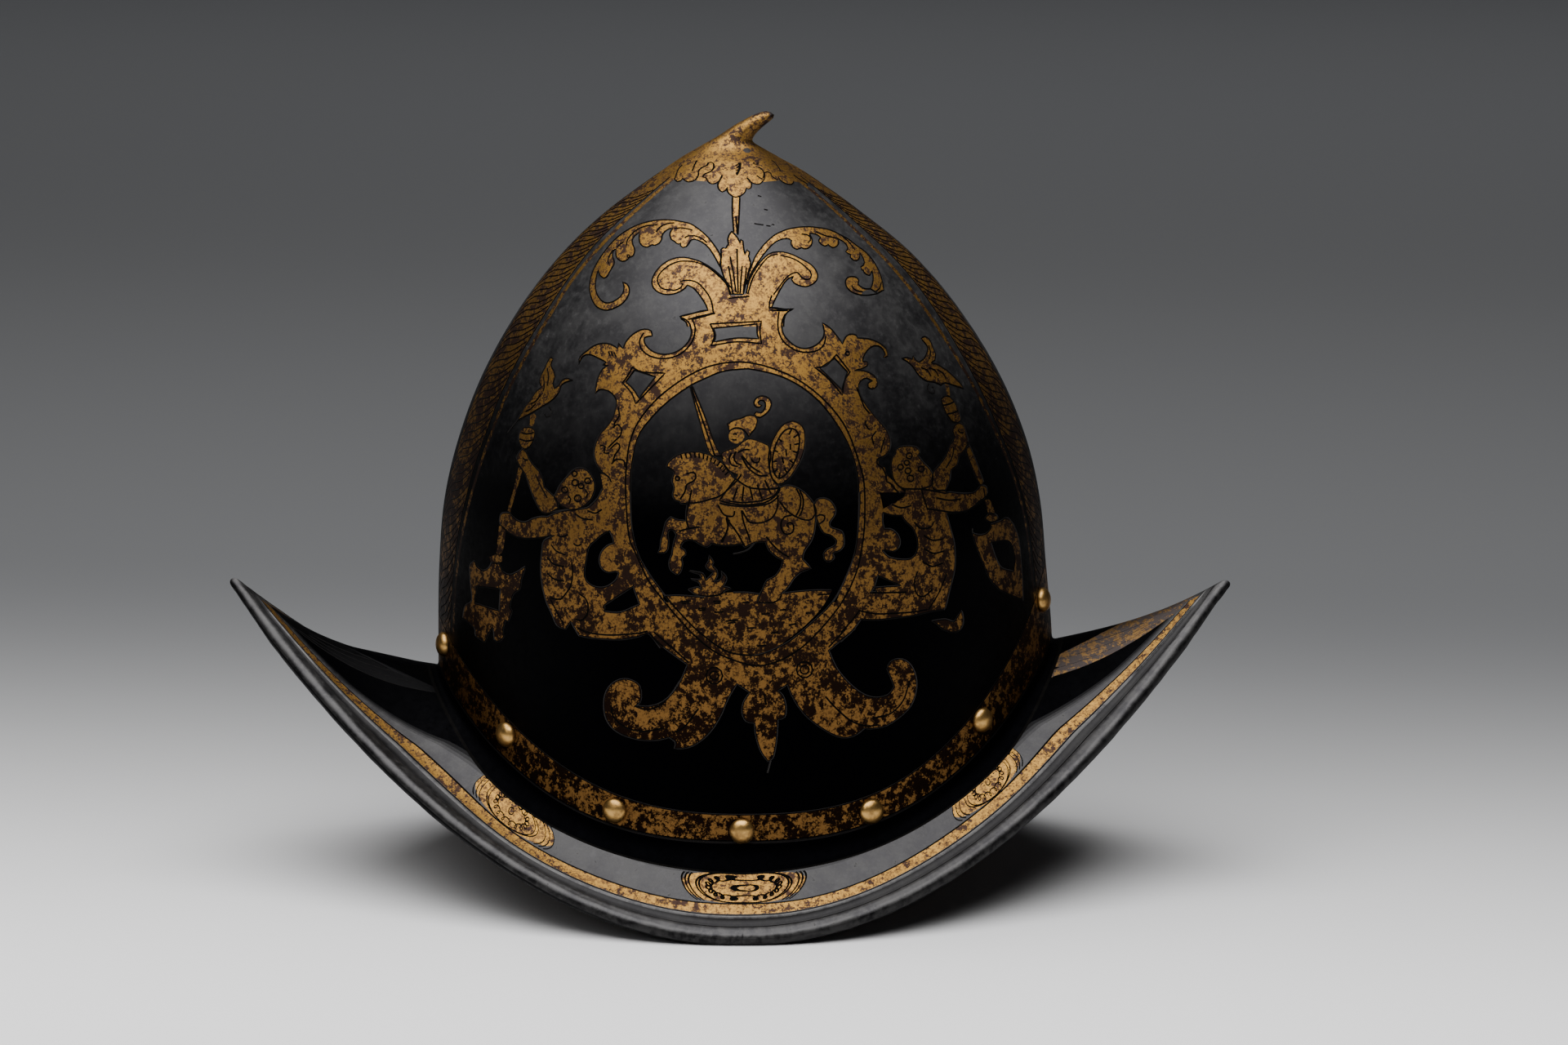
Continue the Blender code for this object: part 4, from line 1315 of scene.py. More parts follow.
LEFT_BODY = Panel("front half-figure, lower part, and frame", (560, 600), 6.272, (
    (Mark.GOLD, """1100,-120! 1115,-10 1080,60 1045,100! 990,140 860,155 780,170 690,208! 650,205 580,220
        520,248 460,235 420,200! 400,178 345,178 325,215 330,265 380,315! 430,350 500,372 600,372 700,357
        745,350! 665,392 650,470 640,600 650,720 680,850 720,940 765,1040 830,1070! 870,1010! 935,1120!
        1050,1140 1250,1150 1400,1125 1470,1105! 1560,1215! 1650,1180! 1568,770! 1500,690 1430,580
        1370,420 1330,250 1325,100 1320,-120! 1100,-120!"""),
    (Mark.LINE, """1115,-10 1080,60 1045,100! 990,140 860,155 780,170 690,208! 650,205 580,220 520,248
        460,235 420,200! 400,178 345,178 325,215 330,265 380,315! 430,350 500,372 600,372 700,357 745,350!
        665,392 650,470 640,600 650,720 680,850 720,940 765,1040 830,1070! 870,1010! 935,1120! 1050,1140
        1250,1150 1400,1125 1470,1105 1560,1215"""),
    (Mark.GOLD, """320,280! 370,290 345,480 300,490! 320,280! | 250,515! 290,498 340,510 345,545 300,565
        255,550 250,515!"""),
    (Mark.CUT, """1170,315! 1195,370 1200,410! 1150,430 1105,480 1090,550 1115,610 1165,635 1215,625
        1240,640! 1215,695 1140,745 1060,745 1000,710 975,650 985,560 1010,440 1060,390 1110,345
        1170,315!"""),
    (Mark.CUT, "1130,885! 1350,740! 1400,880! 1250,940 1130,935! 1130,885!"),
    (Mark.EDGED, """130,545! 150,590 200,620 240,600 260,560! 320,570 340,620 390,650 440,640 520,590!
        515,620 490,690 480,760 430,800 400,900 420,930 390,1010! 370,1000 350,1080 355,1130 320,1165
        285,1150 280,1100 265,1060 210,1170! 140,1120 130,1060 40,980! 60,890 110,850 100,730 95,650
        95,580 130,545!"""),
    (Mark.CUT, "150,740! 330,760! 320,930! 130,870! 150,740!"),
    (Mark.LINE, """920,1060 1000,1095 1150,1115 1300,1110 1400,1100 1460,1085 | 765,345 800,362 850,345 |
        890,410 920,430 950,420 | 880,560 885,650 870,740 830,800 790,840 710,830 | 720,850 760,930
        820,1040 | 935,800 980,830 1005,890 995,960 950,1005 905,990 | 900,180 960,220 1040,230 | 1000,160
        1060,180 1110,150 | 720,420 760,470 830,500 | 690,520 740,570 820,590 | 690,640 750,690 820,700"""),
))

RIGHT_TERM = Panel("rear half-figure, upper part", (1030, 400), 6.533, (
    (Mark.EDGED, """485,255! 530,248 570,262 575,235! 600,270 620,285! 660,260 690,200 690,160 660,120
        640,95! 670,80 710,110 735,170 755,220 750,270! 720,290 760,300 830,340 890,390 950,450 985,500!
        900,470 830,450 800,470! 740,445 680,435 620,390 580,330 540,290 485,255!"""),
    (Mark.LINE, """700,455 690,500 715,530 745,530 740,490 725,485 | 700,150 715,210 705,260 | 640,330
        690,350 720,400 | 700,330 750,350 780,400 | 770,345 820,380 840,425"""),
    (Mark.GOLD, "830,460! 860,470 870,560 850,560! 830,460!"),
    (Mark.EDGED, """800,580! 830,555 870,560! 910,610 945,690 955,750 930,770! 890,760 850,710 820,650
        800,580!"""),
    (Mark.LINE, "820,630 865,620 905,600 | 850,700 900,690 940,670"),
    (Mark.EDGED, """905,795! 935,772 975,785 1000,850 1015,920 985,990! 945,1040 925,1110 880,1150
        868,1230 832,1312! 740,1300 730,1200 745,1150! 800,1090 840,1030 870,955 908,890 893,840 905,795!"""),
    (Mark.LINE, "900,960 890,1040 840,1130 | 935,830 955,850 980,850"),
    (Mark.EDGED, "1000,1000! 1025,950 1080,1080 1140,1240! 1115,1270 1060,1160 1000,1000!"),
    (Mark.GOLD, "1150,1390! 1190,1390 1230,1500 1180,1510! 1150,1390!"),
    (Mark.EDGED, """440,980! 480,960 550,955 610,970 630,1010 615,1030! 660,1090 710,1140 735,1200
        720,1270 640,1300! 560,1300 480,1290 430,1240 405,1170 400,1110 410,1050 430,1020 440,980!"""),
    (Mark.RING, "545,1035,24 | 525,1090,20 | 535,1155,24 | 640,1140,24 | 555,1215,26 | 475,1125,22"),
    (Mark.EDGED, """640,1300! 740,1315 835,1335! 870,1325 960,1335 1060,1330 1100,1290 1120,1270!
        1160,1280 1170,1330 1150,1370! 1100,1400 1050,1450 980,1480 880,1485 780,1470 690,1460! 640,1300!"""),
    (Mark.LINE, """290,1060! 290,1100 330,1130 355,1180 365,1240! 400,1260 430,1300 470,1335 | 760,1370
        860,1390 960,1380"""),
))

RIGHT_BODY = Panel("rear half-figure, lower part, and frame", (1030, 600), 6.817, (
    (Mark.GOLD, """160,-200! 230,-100 290,-40 330,60 350,160! 520,60 560,-40 700,-60 880,20 1050,30
        1130,10 [1190,-10! 1200,60 1170,95! 1110,135 1030,182 920,196 880,196! 915,330 942,430 952,550
        945,680 910,820 880,950 860,1000! 755,1015 600,1050 450,1070 300,1085 165,1080! 90,1180 0,1262!]
        -120,1150! 0,830! 90,620 130,430 160,150 160,-200!"""),
    (Mark.CUT, """350,190! 420,212 505,215! 545,270 605,330 638,430 630,520 580,575 490,580 400,560
        345,510! 360,500 430,515 480,480 492,425 470,370 420,330 360,325! 345,260 350,190!"""),
    (Mark.CUT, "305,715! 500,800! 275,815! 305,715! | 275,815! 245,855! 300,850! 275,815!"),
    (Mark.LINE, """240,862 545,855 | 610,270 650,315 700,325 755,305 770,265 | 150,1010 300,1035 450,1030
        600,1020 715,1000 | 150,1010 100,1080 0,1190 | 880,700 820,850 730,1000 | 640,680 620,730 610,800
        640,880 700,885 760,830 | 690,380 760,420 850,410 | 690,490 770,530 860,510 | 680,600 760,640
        850,610 | 420,120 500,150 590,130"""),
    (Mark.EDGED, """755,1095! 800,1120 850,1165 930,1190 990,1170 1020,1110 1015,1040 1005,1010! 970,1060
        940,1100 870,1080 755,1095!"""),
    (Mark.EDGED, """1095,320! 1100,360 1150,375 1210,365 1250,320 1250,290! 1330,260 1400,240 1480,400
        1510,700 1520,920! 1350,850 1290,800 1240,740 1190,620 1140,500 1100,380 1095,320!"""),
    (Mark.CUT, "1250,440! 1400,430 1450,560 1440,680! 1340,650 1290,560 1250,440!"),
    (Mark.EDGED, "1200,240! 1230,205 1280,200 1310,230 1290,262 1240,268 1200,240!"),
))

BOTTOM = Panel("scrolls under the picture", (720, 770), 3.7333, (
    (Mark.GOLD, """[280,20! 340,80 455,165! 430,225 390,290 340,335 280,355 215,352! 238,335 243,295
        235,262 205,238 160,230 115,248 82,290 72,350 82,410 115,458 170,490 240,508 310,510 372,497!
        400,520 395,548! 450,545 505,520 560,470 605,400 640,320 680,252! 740,292! 712,335 705,385 722,422
        762,432! 768,490 790,560 822,606! 845,590 860,520 868,415! 898,405 905,360 890,305 865,285!
        912,255! 930,300 965,360 1015,415 1085,465 1155,497 1215,490 1265,455! 1290,458 1360,445 1430,400
        1480,345 1502,270 1495,205 1465,155 1420,138 1380,155 1368,185! 1385,225 1400,265! 1375,300
        1320,315 1260,300 1200,255 1140,185 1100,100! 1160,50 1220,0!] 1180,-120! 300,-120! 280,20!"""),
    (Mark.LINE, """300,15 370,75 460,155 | 400,475 440,450 480,400 505,365 | 215,355 270,370 330,350
        380,300 420,240 | 1085,310 1130,360 1200,420 1270,445 1330,440 | 1180,0 1100,85 | 805,300 815,350
        | 835,605 820,660 | 105,350 120,410 180,455 260,470 340,455 | 1470,240 1440,330 1380,390 1300,410"""),
    (Mark.RING, "577,215,38 | 990,188,37 | 577,215,20 | 990,188,20"),
))

HORSEMAN = Panel("horseman in the oval picture", (770, 440), 5.4069, (
    (Mark.CUT, """760,65 620,82 500,130 400,180 260,280 140,400 60,520 20,700 10,865 20,1115 60,1285
        130,1415 240,1565 380,1725 500,1835 650,1935 800,1960 900,1945 1050,1875 1200,1755 1350,1605
        1440,1435 1500,1265 1520,1065 1520,830 1500,700 1450,560 1370,420 1260,280 1120,170 980,105 830,70
        760,65"""),
    (Mark.LINE, """760,20 620,27 480,67 330,150 180,270 60,420 5,560 -15,700 -22,865 0,1165 50,1295
        130,1465 260,1635 400,1795 550,1925 700,1995 850,2030 1000,1995 1150,1905 1290,1765 1420,1595
        1510,1400 1550,1200 1562,1050 1560,850 1535,720 1450,480 1340,320 1200,190 1060,105 900,45 760,20"""),
    (Mark.GOLD, """[235,1567! 350,1565 500,1577!] 560,1555 690,1545 860,1555! 850,1610 960,1610 1015,1553!
        1100,1540 1200,1533 1345,1530! 1270,1655 1130,1795 960,1915 800,1960 650,1935 480,1830 330,1675
        235,1567!"""),
    (Mark.LINE, """690,1545 790,1545 860,1555 | 1020,1550 1120,1538 1230,1530 1340,1530 | 345,1605
        410,1602 | 355,1617 400,1615 | 560,1605 610,1602 | 570,1617 605,1615 | 750,1613 800,1610 |
        460,1652 510,1648 | 470,1664 505,1661 | 565,1677 625,1672 | 640,1735 720,1728 | 655,1748 705,1743
        | 780,1783 830,1778 | 940,1815 990,1808 | 1000,1662 1040,1658 | 1170,1683 1200,1680 | 1250,1560
        1330,1555 | 560,1815 580,1812 | 850,1900 910,1894 | 880,1690 930,1684 | 1060,1760 1110,1752"""),
    (Mark.EDGED, """395,1525! 430,1515 460,1510 480,1530! 470,1485 440,1465 410,1455! 450,1460 480,1455
        470,1425 440,1415 400,1400! 450,1410 490,1420 510,1465! 540,1435 560,1410 530,1395 510,1370
        530,1335 530,1300! 560,1345 550,1365 580,1395 585,1435 560,1475! 600,1465 620,1435 610,1405!
        640,1435 645,1465 620,1505! 650,1510 680,1520! 640,1530 600,1560 500,1570 440,1555 395,1525!"""),
    (Mark.EDGED, """1225,965! 1245,930 1290,920 1340,943 1370,1000 1355,1045 1330,1080 1335,1110 1370,1125
        1410,1140 1425,1190 1420,1240 1390,1270 1350,1285 1360,1315 1330,1340 1300,1330 1290,1290
        1310,1262 1360,1235 1375,1205 1340,1170 1290,1150 1262,1105 1245,1060! 1225,965!"""),
    (Mark.EDGED, """250,712! 262,682 290,655! 330,630 400,614 470,615 540,635 600,670 650,722 690,780!
        800,850 950,860 1000,850! 1050,835 1110,850 1170,890 1220,950 1240,1000! 1235,1085 1225,1155
        1200,1215 1160,1275 1150,1325! 1180,1355 1205,1387! 1140,1410 1090,1455 1050,1515 1010,1550!
        1000,1585 960,1610 900,1613 850,1610! 865,1565 890,1515 915,1465 970,1435 1010,1375 1020,1330!
        980,1310 930,1265 905,1210! 830,1215 770,1245! 740,1223 680,1233 600,1230 545,1220! 520,1243
        480,1230 440,1205 400,1195 360,1210 345,1245 370,1265 375,1295 350,1315 355,1355 345,1400 325,1425
        300,1415 272,1385 268,1335 285,1295 290,1255 300,1205 315,1165! 300,1137 275,1127 258,1150
        262,1205 256,1260 232,1283 195,1280! 208,1250 212,1205 228,1145 245,1080 278,1045! 320,1063
        378,1070! 380,1005 385,963 345,955! 335,940 310,935 290,900 300,850 285,800 300,760 290,735
        250,712!"""),
    (Mark.LINE, """345,955 450,950 550,925 620,895 720,800 745,760 | 415,865 400,940 385,1010 380,1060
        395,1120 | 465,1110 385,1125 330,1140 | 380,760 430,750 445,782 420,812 385,830 370,880 340,925 |
        310,900 325,905 | 600,955 680,970 760,975 860,970 940,950 995,905 | 665,940 750,950 870,938
        960,905 990,860 | 750,1005 780,1055 800,1080 860,1085 920,1070 960,1035 985,975 985,900 | 690,1290
        740,1280 790,1260 830,1220 | 650,1045 665,1080 720,1155 770,1245 | 745,1000 760,1080 800,1190
        800,1215 | 665,1065 650,1135 620,1210 | 645,1055 655,1125 610,1210 | 590,965 630,1030 690,1040
        700,1005 | 1075,1035 1030,1045 1008,1085 1015,1135 1045,1160 1085,1145 1090,1100 1065,1080
        1045,1100 1060,1115 | 1000,945 1040,995 1100,1040 1170,1065 1210,1060 1240,1015 | 1110,860
        1138,920 1130,990 1108,1035 | 1130,862 1155,930 1148,1000 1128,1040 | 910,1175 940,1215 1000,1275
        1060,1310 | 1240,1045 1265,1030 1297,1040 1290,1070 1262,1090 | 345,634 352,662 | 375,625 382,655
        | 405,622 412,652 | 435,622 440,652 | 465,625 466,655 | 495,632 493,662 | 522,642 516,672 |
        548,652 540,680 | 574,668 562,694 | 598,686 584,710 | 618,706 602,728 | 638,728 620,748 | 655,750
        636,768"""),
    (Mark.RING, "322,790,14"),
    (Mark.EDGED, "405,182! 420,180 500,370 570,560 625,660! 600,640 535,625 470,420 405,182!"),
    (Mark.LINE, "412,185 480,380 570,640"),
    (Mark.EDGED, """868,388! 905,365 935,330 945,290 925,258 885,243 848,255 828,285 838,312 862,320
        880,305! 862,300 855,285 870,272 892,275 905,300 898,330 875,355 845,348 832,362 845,382 868,388!"""),
    (Mark.GOLD, "705,462! 745,468 765,495 760,530 730,556 695,556 668,535 662,500 680,470 705,462!"),
    (Mark.LINE, "690,498 704,494 716,500 | 684,532 700,536 714,532"),
    (Mark.EDGED, """652,430! 690,405 740,392 790,372 838,378 852,410 840,455 815,485 795,512! 770,480
        750,462 705,455 665,475! 652,430!"""),
    (Mark.EDGED, """610,625! 650,600 705,585 755,545 800,525 870,545 925,570! 940,640 930,720 950,790
        1000,850 975,900 900,950 780,965 670,955 600,935! 640,880 700,800 720,765! 660,740 620,680
        610,625!"""),
    (Mark.LINE, """680,620 665,660 680,700 720,710 | 710,610 695,650 715,690 750,700 | 720,620 760,600
        800,600 | 745,640 790,720 860,770 920,770 | 760,650 810,710 870,750 | 810,660 830,685 860,680
        865,650 | 720,850 690,930 | 760,850 750,935 | 800,840 820,930 | 850,830 880,920 | 900,800 940,890"""),
    (Mark.EDGED, """1100,412 1150,445 1168,510 1155,620 1110,720 1050,800 990,828 950,790 928,700 930,610
        960,520 1010,445 1060,415 1100,412"""),
    (Mark.LINE, """1085,460 1120,490 1130,550 1110,650 1060,740 1000,790 965,760 950,690 960,610 990,530
        1035,470 1085,460 | 1075,470 1060,500 | 1118,500 1090,520 | 1128,560 1095,565 | 1118,620 1088,610
        | 1090,690 1066,670 | 1045,750 1030,720 | 995,785 1000,750 | 966,745 988,725 | 954,680 980,675 |
        964,605 988,615 | 995,530 1014,548 | 1040,600 1045,640 | 1015,650 1025,690 | 1070,560 1070,600"""),
))

PANELS = (CREST, FRAME, LEFT_TERM, RIGHT_TERM, LEFT_BODY, RIGHT_BODY, BOTTOM, LEFT_ARC, RIGHT_ARC, HORSEMAN)


# Millimetres from the ridge to the border line and to the rope's inner and outer edge, by height
RIDGE_COLUMNS = (
    "height", "front_border", "front_rope", "front_outer", "rear_border", "rear_rope", "rear_outer",
)
RIDGE_ROWS = (
    (250.0, 15.5, 12.5, 0.8, 15.0, 9.5, 0.8),
    (240.0, 21.5, 18.0, 1.1, 20.0, 14.5, 1.1),
    (228.0, 27.5, 22.8, 1.8, 27.0, 20.5, 1.8),
    (215.0, 31.8, 28.0, 3.6, 31.8, 24.8, 3.2),
    (203.0, 36.0, 31.7, 6.0, 35.0, 28.5, 5.2),
    (190.0, 38.3, 33.6, 8.2, 37.2, 31.8, 7.4),
    (176.0, 39.8, 35.0, 9.8, 38.0, 33.6, 9.2),
    (160.0, 41.0, 36.2, 10.8, 37.8, 33.8, 10.0),
    (136.0, 39.9, 35.5, 11.0, 34.5, 30.5, 9.6),
    (112.0, 36.0, 32.0, 10.0, 31.8, 28.0, 9.0),
    (86.0, 33.6, 29.6, 9.0, 30.2, 26.4, 8.2),
    (60.0, 32.6, 28.6, 8.4, 29.6, 25.8, 7.8),
)


@dataclass
class Drawing:
    """The ornament of one side, drawn on enlarged sheets over the view of the helmet's left side."""

    form: HelmetForm
    view: View
    step: float = 4.4
    line_width: float = 0.62
    border_width: float = 1.6
    cap_foot: float = 0.2500
    band_above: float = 0.0058
    band_foot: float = 0.0042
    rope_gilt: float = 0.42
    strand_pitch: float = 3.4
    strand_slant: float = 17.0
    gilt_line: tuple = (-1.52, 1.50, 0.0114, 0.0158)
    # Each ridge field: its start, its stop and its gilt; the front one's gilt below 0 is painted shade.
    brim_ridges: tuple = ((-1.46, -1.30, -0.9), (1.44, 1.22, 0.12))
    # Painted shade on the brim beside the fillet: steps of inset share and strength, and where the shaded
    # field lies.
    painted_shade_steps: tuple = ((0.95, 0.3), (0.985, 0.6), (1.02, 0.85), (1.06, 1.0))
    painted_shade_inset: float = 0.0290
    painted_shade_fall: float = 0.0105
    painted_shade_turn: float = 1.25
    painted_shade_power: float = 3.0
    painted_shade_top: float = 0.1200
    ridge_foot: float = 0.0180
    ridge_top: float = 0.0600
    rosettes: tuple = ((-101.5, 31.0), (0.3, 10.8), (111.5, 28.5))
    rosette_inset: float = 22.2
    rosette_half_height: float = 6.1
    rosette_arcs: tuple = (1.0, 0.91, 0.82)
    rosette_ovals: tuple = (0.66, 0.59)
    rosette_loops: int = 17
    rosette_power: tuple = (1.0, 0.78)
    arc_size: tuple = (0.40, 1.02)
    arc_reach: float = 1.05
    oval_height: float = 0.98
    loop_path: tuple = (0.40, 0.66)
    loop_size: tuple = (0.048, 0.17)
    eye_size: tuple = (0.06, 0.21)
    thin: float = 0.8
    thinnest: float = 0.5
    strand_ends: tuple = (0.04, 0.96)
    strand_points: int = 7
    strand_bend: float = 9.0
    score_lines: int = 3
    fine_steps: int = 161
    coarse_steps: int = 41

    def on_chart(self, chart: SkullChart, points: np.ndarray) -> np.ndarray:
        """Chart points of picture points."""
        return chart.flatten(*self.view.on_skull(self.form, points))

    def draw_skull(self, sheet: Sheet) -> None:
        """Everything on the skull: both rope bands, the panels in their order and the rivet band."""
        self._ridge_band(sheet, "front")
        self._ridge_band(sheet, "rear")
        angles = np.linspace(-QUARTER_TURN, QUARTER_TURN, self.coarse_steps)
        rim = sheet.chart.flatten(angles, np.full(len(angles), self.cap_foot))
        sheet.fill(np.concatenate([rim, np.zeros((1, 2))]))
        for panel in PANELS:
            for mark, line in panel.lines(self.step):
                self._put(sheet, mark, self.on_chart(sheet.chart, line))
        self._rivet_band(sheet)

    def _put(self, sheet: Sheet, mark: Mark, line: np.ndarray) -> None:
        """Fill or etch one line as its mark says."""
        if mark in (Mark.GOLD, Mark.EDGED):
            sheet.fill(line[:-1])
        if mark in (Mark.BARE, Mark.CUT):
            sheet.fill(line[:-1], 0.0)
        if mark in (Mark.EDGED, Mark.CUT, Mark.LINE, Mark.RING):
            sheet.etch(line, self.line_width)

    def _beside_ridge(self, sheet: Sheet, end: str, column: str, count: int = 90) -> np.ndarray:
        """A line beside the ridge, from the apex down to the rivet band.

        Args:
            sheet: The skull's sheet.
            end: "front" or "rear".
            column: Which of the table's distances it keeps from the ridge.
            count: How many points it has.

        Returns:
            The line's chart points.
        """
        table = np.array(RIDGE_ROWS)
        rows = smooth_columns(table, np.linspace(0.0, len(table) - 1, count))
        height = rows[:, 0] * MM
        side = -1.0 if end == "front" else 1.0
        away = rows[:, RIDGE_COLUMNS.index(f"{end}_{column}")] / sheet.chart.radius(height)
        return sheet.chart.flatten(side * (QUARTER_TURN - away), height)

    def _ridge_band(self, sheet: Sheet, end: str) -> None:
        """A gilt rope beside the ridge, its strands in S-shaped lines, and a narrow gilt border."""
        inner = self._beside_ridge(sheet, end, "rope")
        outer = self._beside_ridge(sheet, end, "outer")
        border = self._beside_ridge(sheet, end, "border")
        side = -1.0 if end == "front" else 1.0
        sheet.fill(np.concatenate([inner, outer[::-1]]), self.rope_gilt)
        edge = offset_line(border, side * self.border_width)
        sheet.fill(np.concatenate([border, edge[::-1]]), self.rope_gilt)
        lines = [inner, outer]
        length = np.concatenate([[0.0], np.cumsum(np.linalg.norm(np.diff(inner, axis=0), axis=1))])
        across = np.linspace(*self.strand_ends, self.strand_points)
        for start in np.arange(self.strand_slant, length[-1] - self.strand_slant, self.strand_pitch):
            sway = np.sin(FULL_TURN * across) / self.strand_bend
            along = start + self.strand_slant * (across - 0.5 + sway)
            near, far = (
                np.stack([np.interp(along, length, column) for column in edge.T], axis=1)
                for edge in (inner, outer)
            )
            lines.append(near + (far - near) * across[:, None])
        band, _ = self._rivet_lines(sheet)
        for line in lines:
            foot = np.interp(line[:, 0], band[:, 0], band[:, 1]) + self.line_width
            above = line[line[:, 1] > foot]
            if len(above) > 1:
                sheet.etch(above, self.line_width * self.thin)

    def _rivet_lines(self, sheet: Sheet) -> tuple[np.ndarray, np.ndarray]:
        """Upper and lower edge of the rivet band."""
        angles = np.linspace(-QUARTER_TURN, QUARTER_TURN, self.fine_steps)
        turns = self.form.even_turn(angles)
        upper = self.form.rise(turns, self.form.rivet_line) + self.band_above
        lower = self.form.rise(turns, self.form.corner) + self.band_foot
        return sheet.chart.flatten(angles, upper), sheet.chart.flatten(angles, lower)

    def _rivet_band(self, sheet: Sheet) -> None:
        """The gilt band that the rivets stand in."""
        upper, lower = self._rivet_lines(sheet)
        sheet.fill(np.concatenate([upper, lower[::-1]]))
        sheet.etch(upper[1:-1], self.line_width)

    def draw_brim(self, sheet: Sheet) -> None:
        """Everything on the brim: the gilt line beside the edge, both ridge bands and the rosettes."""
        front, rear, low, high = self.gilt_line
        angles = np.linspace(front, rear, self.fine_steps)
        inner = sheet.chart.flatten(angles, np.full(len(angles), high))
        outer = sheet.chart.flatten(angles, np.full(len(angles), low))
        sheet.fill(np.concatenate([inner, outer[::-1]]))
        # Painted shade on the brim beside the fillet, in steps, darkest next to the skull, reaching further
        # towards the edge near the tips.
        whole = np.linspace(-QUARTER_TURN, QUARTER_TURN, self.fine_steps)
        for share, painted_shade in self.painted_shade_steps:
            fall = np.minimum(np.abs(whole / self.painted_shade_turn) ** self.painted_shade_power, 1.0)
            foot = self.painted_shade_inset * share - self.painted_shade_fall * fall
            below = sheet.chart.flatten(whole, foot)
            above = sheet.chart.flatten(whole[[-1, 0]], np.full(2, self.painted_shade_top))
            sheet.fill(np.concatenate([below, above]), -painted_shade)
        for start, stop, gilt in self.brim_ridges:
            self._brim_ridge(sheet, start, stop, gilt)
        for along, half_length in self.rosettes:
            self._rosette(sheet, along, half_length)
        sheet.etch(inner, self.line_width)

    def _brim_ridge(self, sheet: Sheet, start: float, stop: float, gilt: float) -> None:
        """A field on the brim beside its ridge, scored with fine curved lines towards the skull.

        Args:
            sheet: The brim's sheet.
            start: The field's angle near the brim's edge.
            stop: Its angle near the skull.
            gilt: How much gold it carries, or how much painted shade, below 0.
        """
        share = np.linspace(0.0, 1.0, 25)
        foot = self.ridge_foot + (self.ridge_top - self.ridge_foot) * share
        curve = start + (stop - start) * (1.0 - (1.0 - share) ** 2)
        ridge = math.copysign(QUARTER_TURN, stop)
        line = sheet.chart.flatten(curve, foot)
        far = sheet.chart.flatten(np.full(2, ridge), foot[[-1, 0]])
        sheet.fill(np.concatenate([line, far]), gilt)
        for k in range(1, self.score_lines + 1):
            near = curve + (ridge - curve) * (k / 5)
            scored = slice(3 * k, -2)
            sheet.etch(sheet.chart.flatten(near[scored], foot[scored]), self.line_width * self.thinnest)
        sheet.etch(line[1:], self.line_width * self.thin)

    def _rosette(self, sheet: Sheet, along: float, half_length: float) -> None:
        """An oval with a ring, a line of loops and arcs at each end.

        The loops are a circle rolled inside the oval: the oval's point plus a small circle that
        turns the other way many times faster.

        Args:
            sheet: The brim's sheet.
            along: Where its middle lies along the edge, in millimetres.
            half_length: Half its length.
        """
        middle = np.array((along, self.rosette_inset))
        size = np.array((half_length, self.rosette_half_height))
        circle = self._circle(49)
        square = np.sign(circle) * np.abs(circle) ** np.array(self.rosette_power)
        sheet.fill((middle + size * square)[:-1])
        thin = self.line_width * self.thin
        depth, height = self.arc_size
        turn = np.linspace(-self.arc_reach, self.arc_reach, 13)
        for share in self.rosette_arcs:
            for end in (-1.0, 1.0):
                arc = np.stack([end * (share - depth + depth * np.cos(turn)), height * np.sin(turn)], axis=1)
                sheet.etch(middle + size * arc, thin)
        for share in self.rosette_ovals:
            sheet.etch(middle + size * circle * np.array((share, self.oval_height)), thin)
        path = self._circle(14 * self.rosette_loops)
        spin = self._circle(14 * self.rosette_loops, self.rosette_loops) * np.array((1.0, -1.0))
        loops = path * np.array(self.loop_path) + spin * np.array(self.loop_size)
        sheet.etch(middle + size * loops, thin)
        sheet.etch(middle + size * circle[::4] * np.array(self.eye_size), thin)

    def _circle(self, count: int, rounds: int = 1) -> np.ndarray:
        """Points on a circle of radius one, run through a number of times."""
        turn = rounds * np.linspace(0.0, FULL_TURN, count)
        return np.stack([np.cos(turn), np.sin(turn)], axis=1)


class Socket:
    """A shader value that takes part in sums and products."""

    def __init__(self, tree: "Shader", socket: bpy.types.NodeSocket) -> None:
        """Keep the socket and the shader that it belongs to."""
        self.tree = tree
        self.socket = socket

    def _math(self, operation: str, first: "Value", second: "Value") -> "Socket":
        """A Math node on two values."""
        return self.tree.node("ShaderNodeMath", {"operation": operation}, {0: first, 1: second})

    def __add__(self, other: "Value") -> "Socket":
        """Sum."""
        return self._math("ADD", self, other)

    __radd__ = __add__

    def __mul__(self, other: "Value") -> "Socket":
        """Product."""
        return self._math("MULTIPLY", self, other)

    __rmul__ = __mul__

    def __sub__(self, other: "Value") -> "Socket":
        """Difference."""
        return self._math("SUBTRACT", self, other)

    def __rsub__(self, other: "Value") -> "Socket":
        """Difference from a number."""
        return self._math("SUBTRACT", other, self)

    def at_most(self, other: "Value") -> "Socket":
        """The lesser of two values."""
        return self._math("MINIMUM", self, other)

    def at_least(self, other: "Value") -> "Socket":
        """The greater of two values."""
        return self._math("MAXIMUM", self, other)

    def ramp(self, low: float, high: float, start: float = 0.0, stop: float = 1.0) -> "Socket":
        """A smooth step.

        Args:
            low: The value where it starts.
            high: The value where it ends.
            start: What it gives at the low value.
            stop: What it gives at the high value.

        Returns:
            The step as a value.
        """
        values = {"Value": self, "From Min": low, "From Max": high, "To Min": start, "To Max": stop}
        return self.tree.node("ShaderNodeMapRange", {"interpolation_type": "SMOOTHSTEP"}, values)


Value = Union[Socket, float]


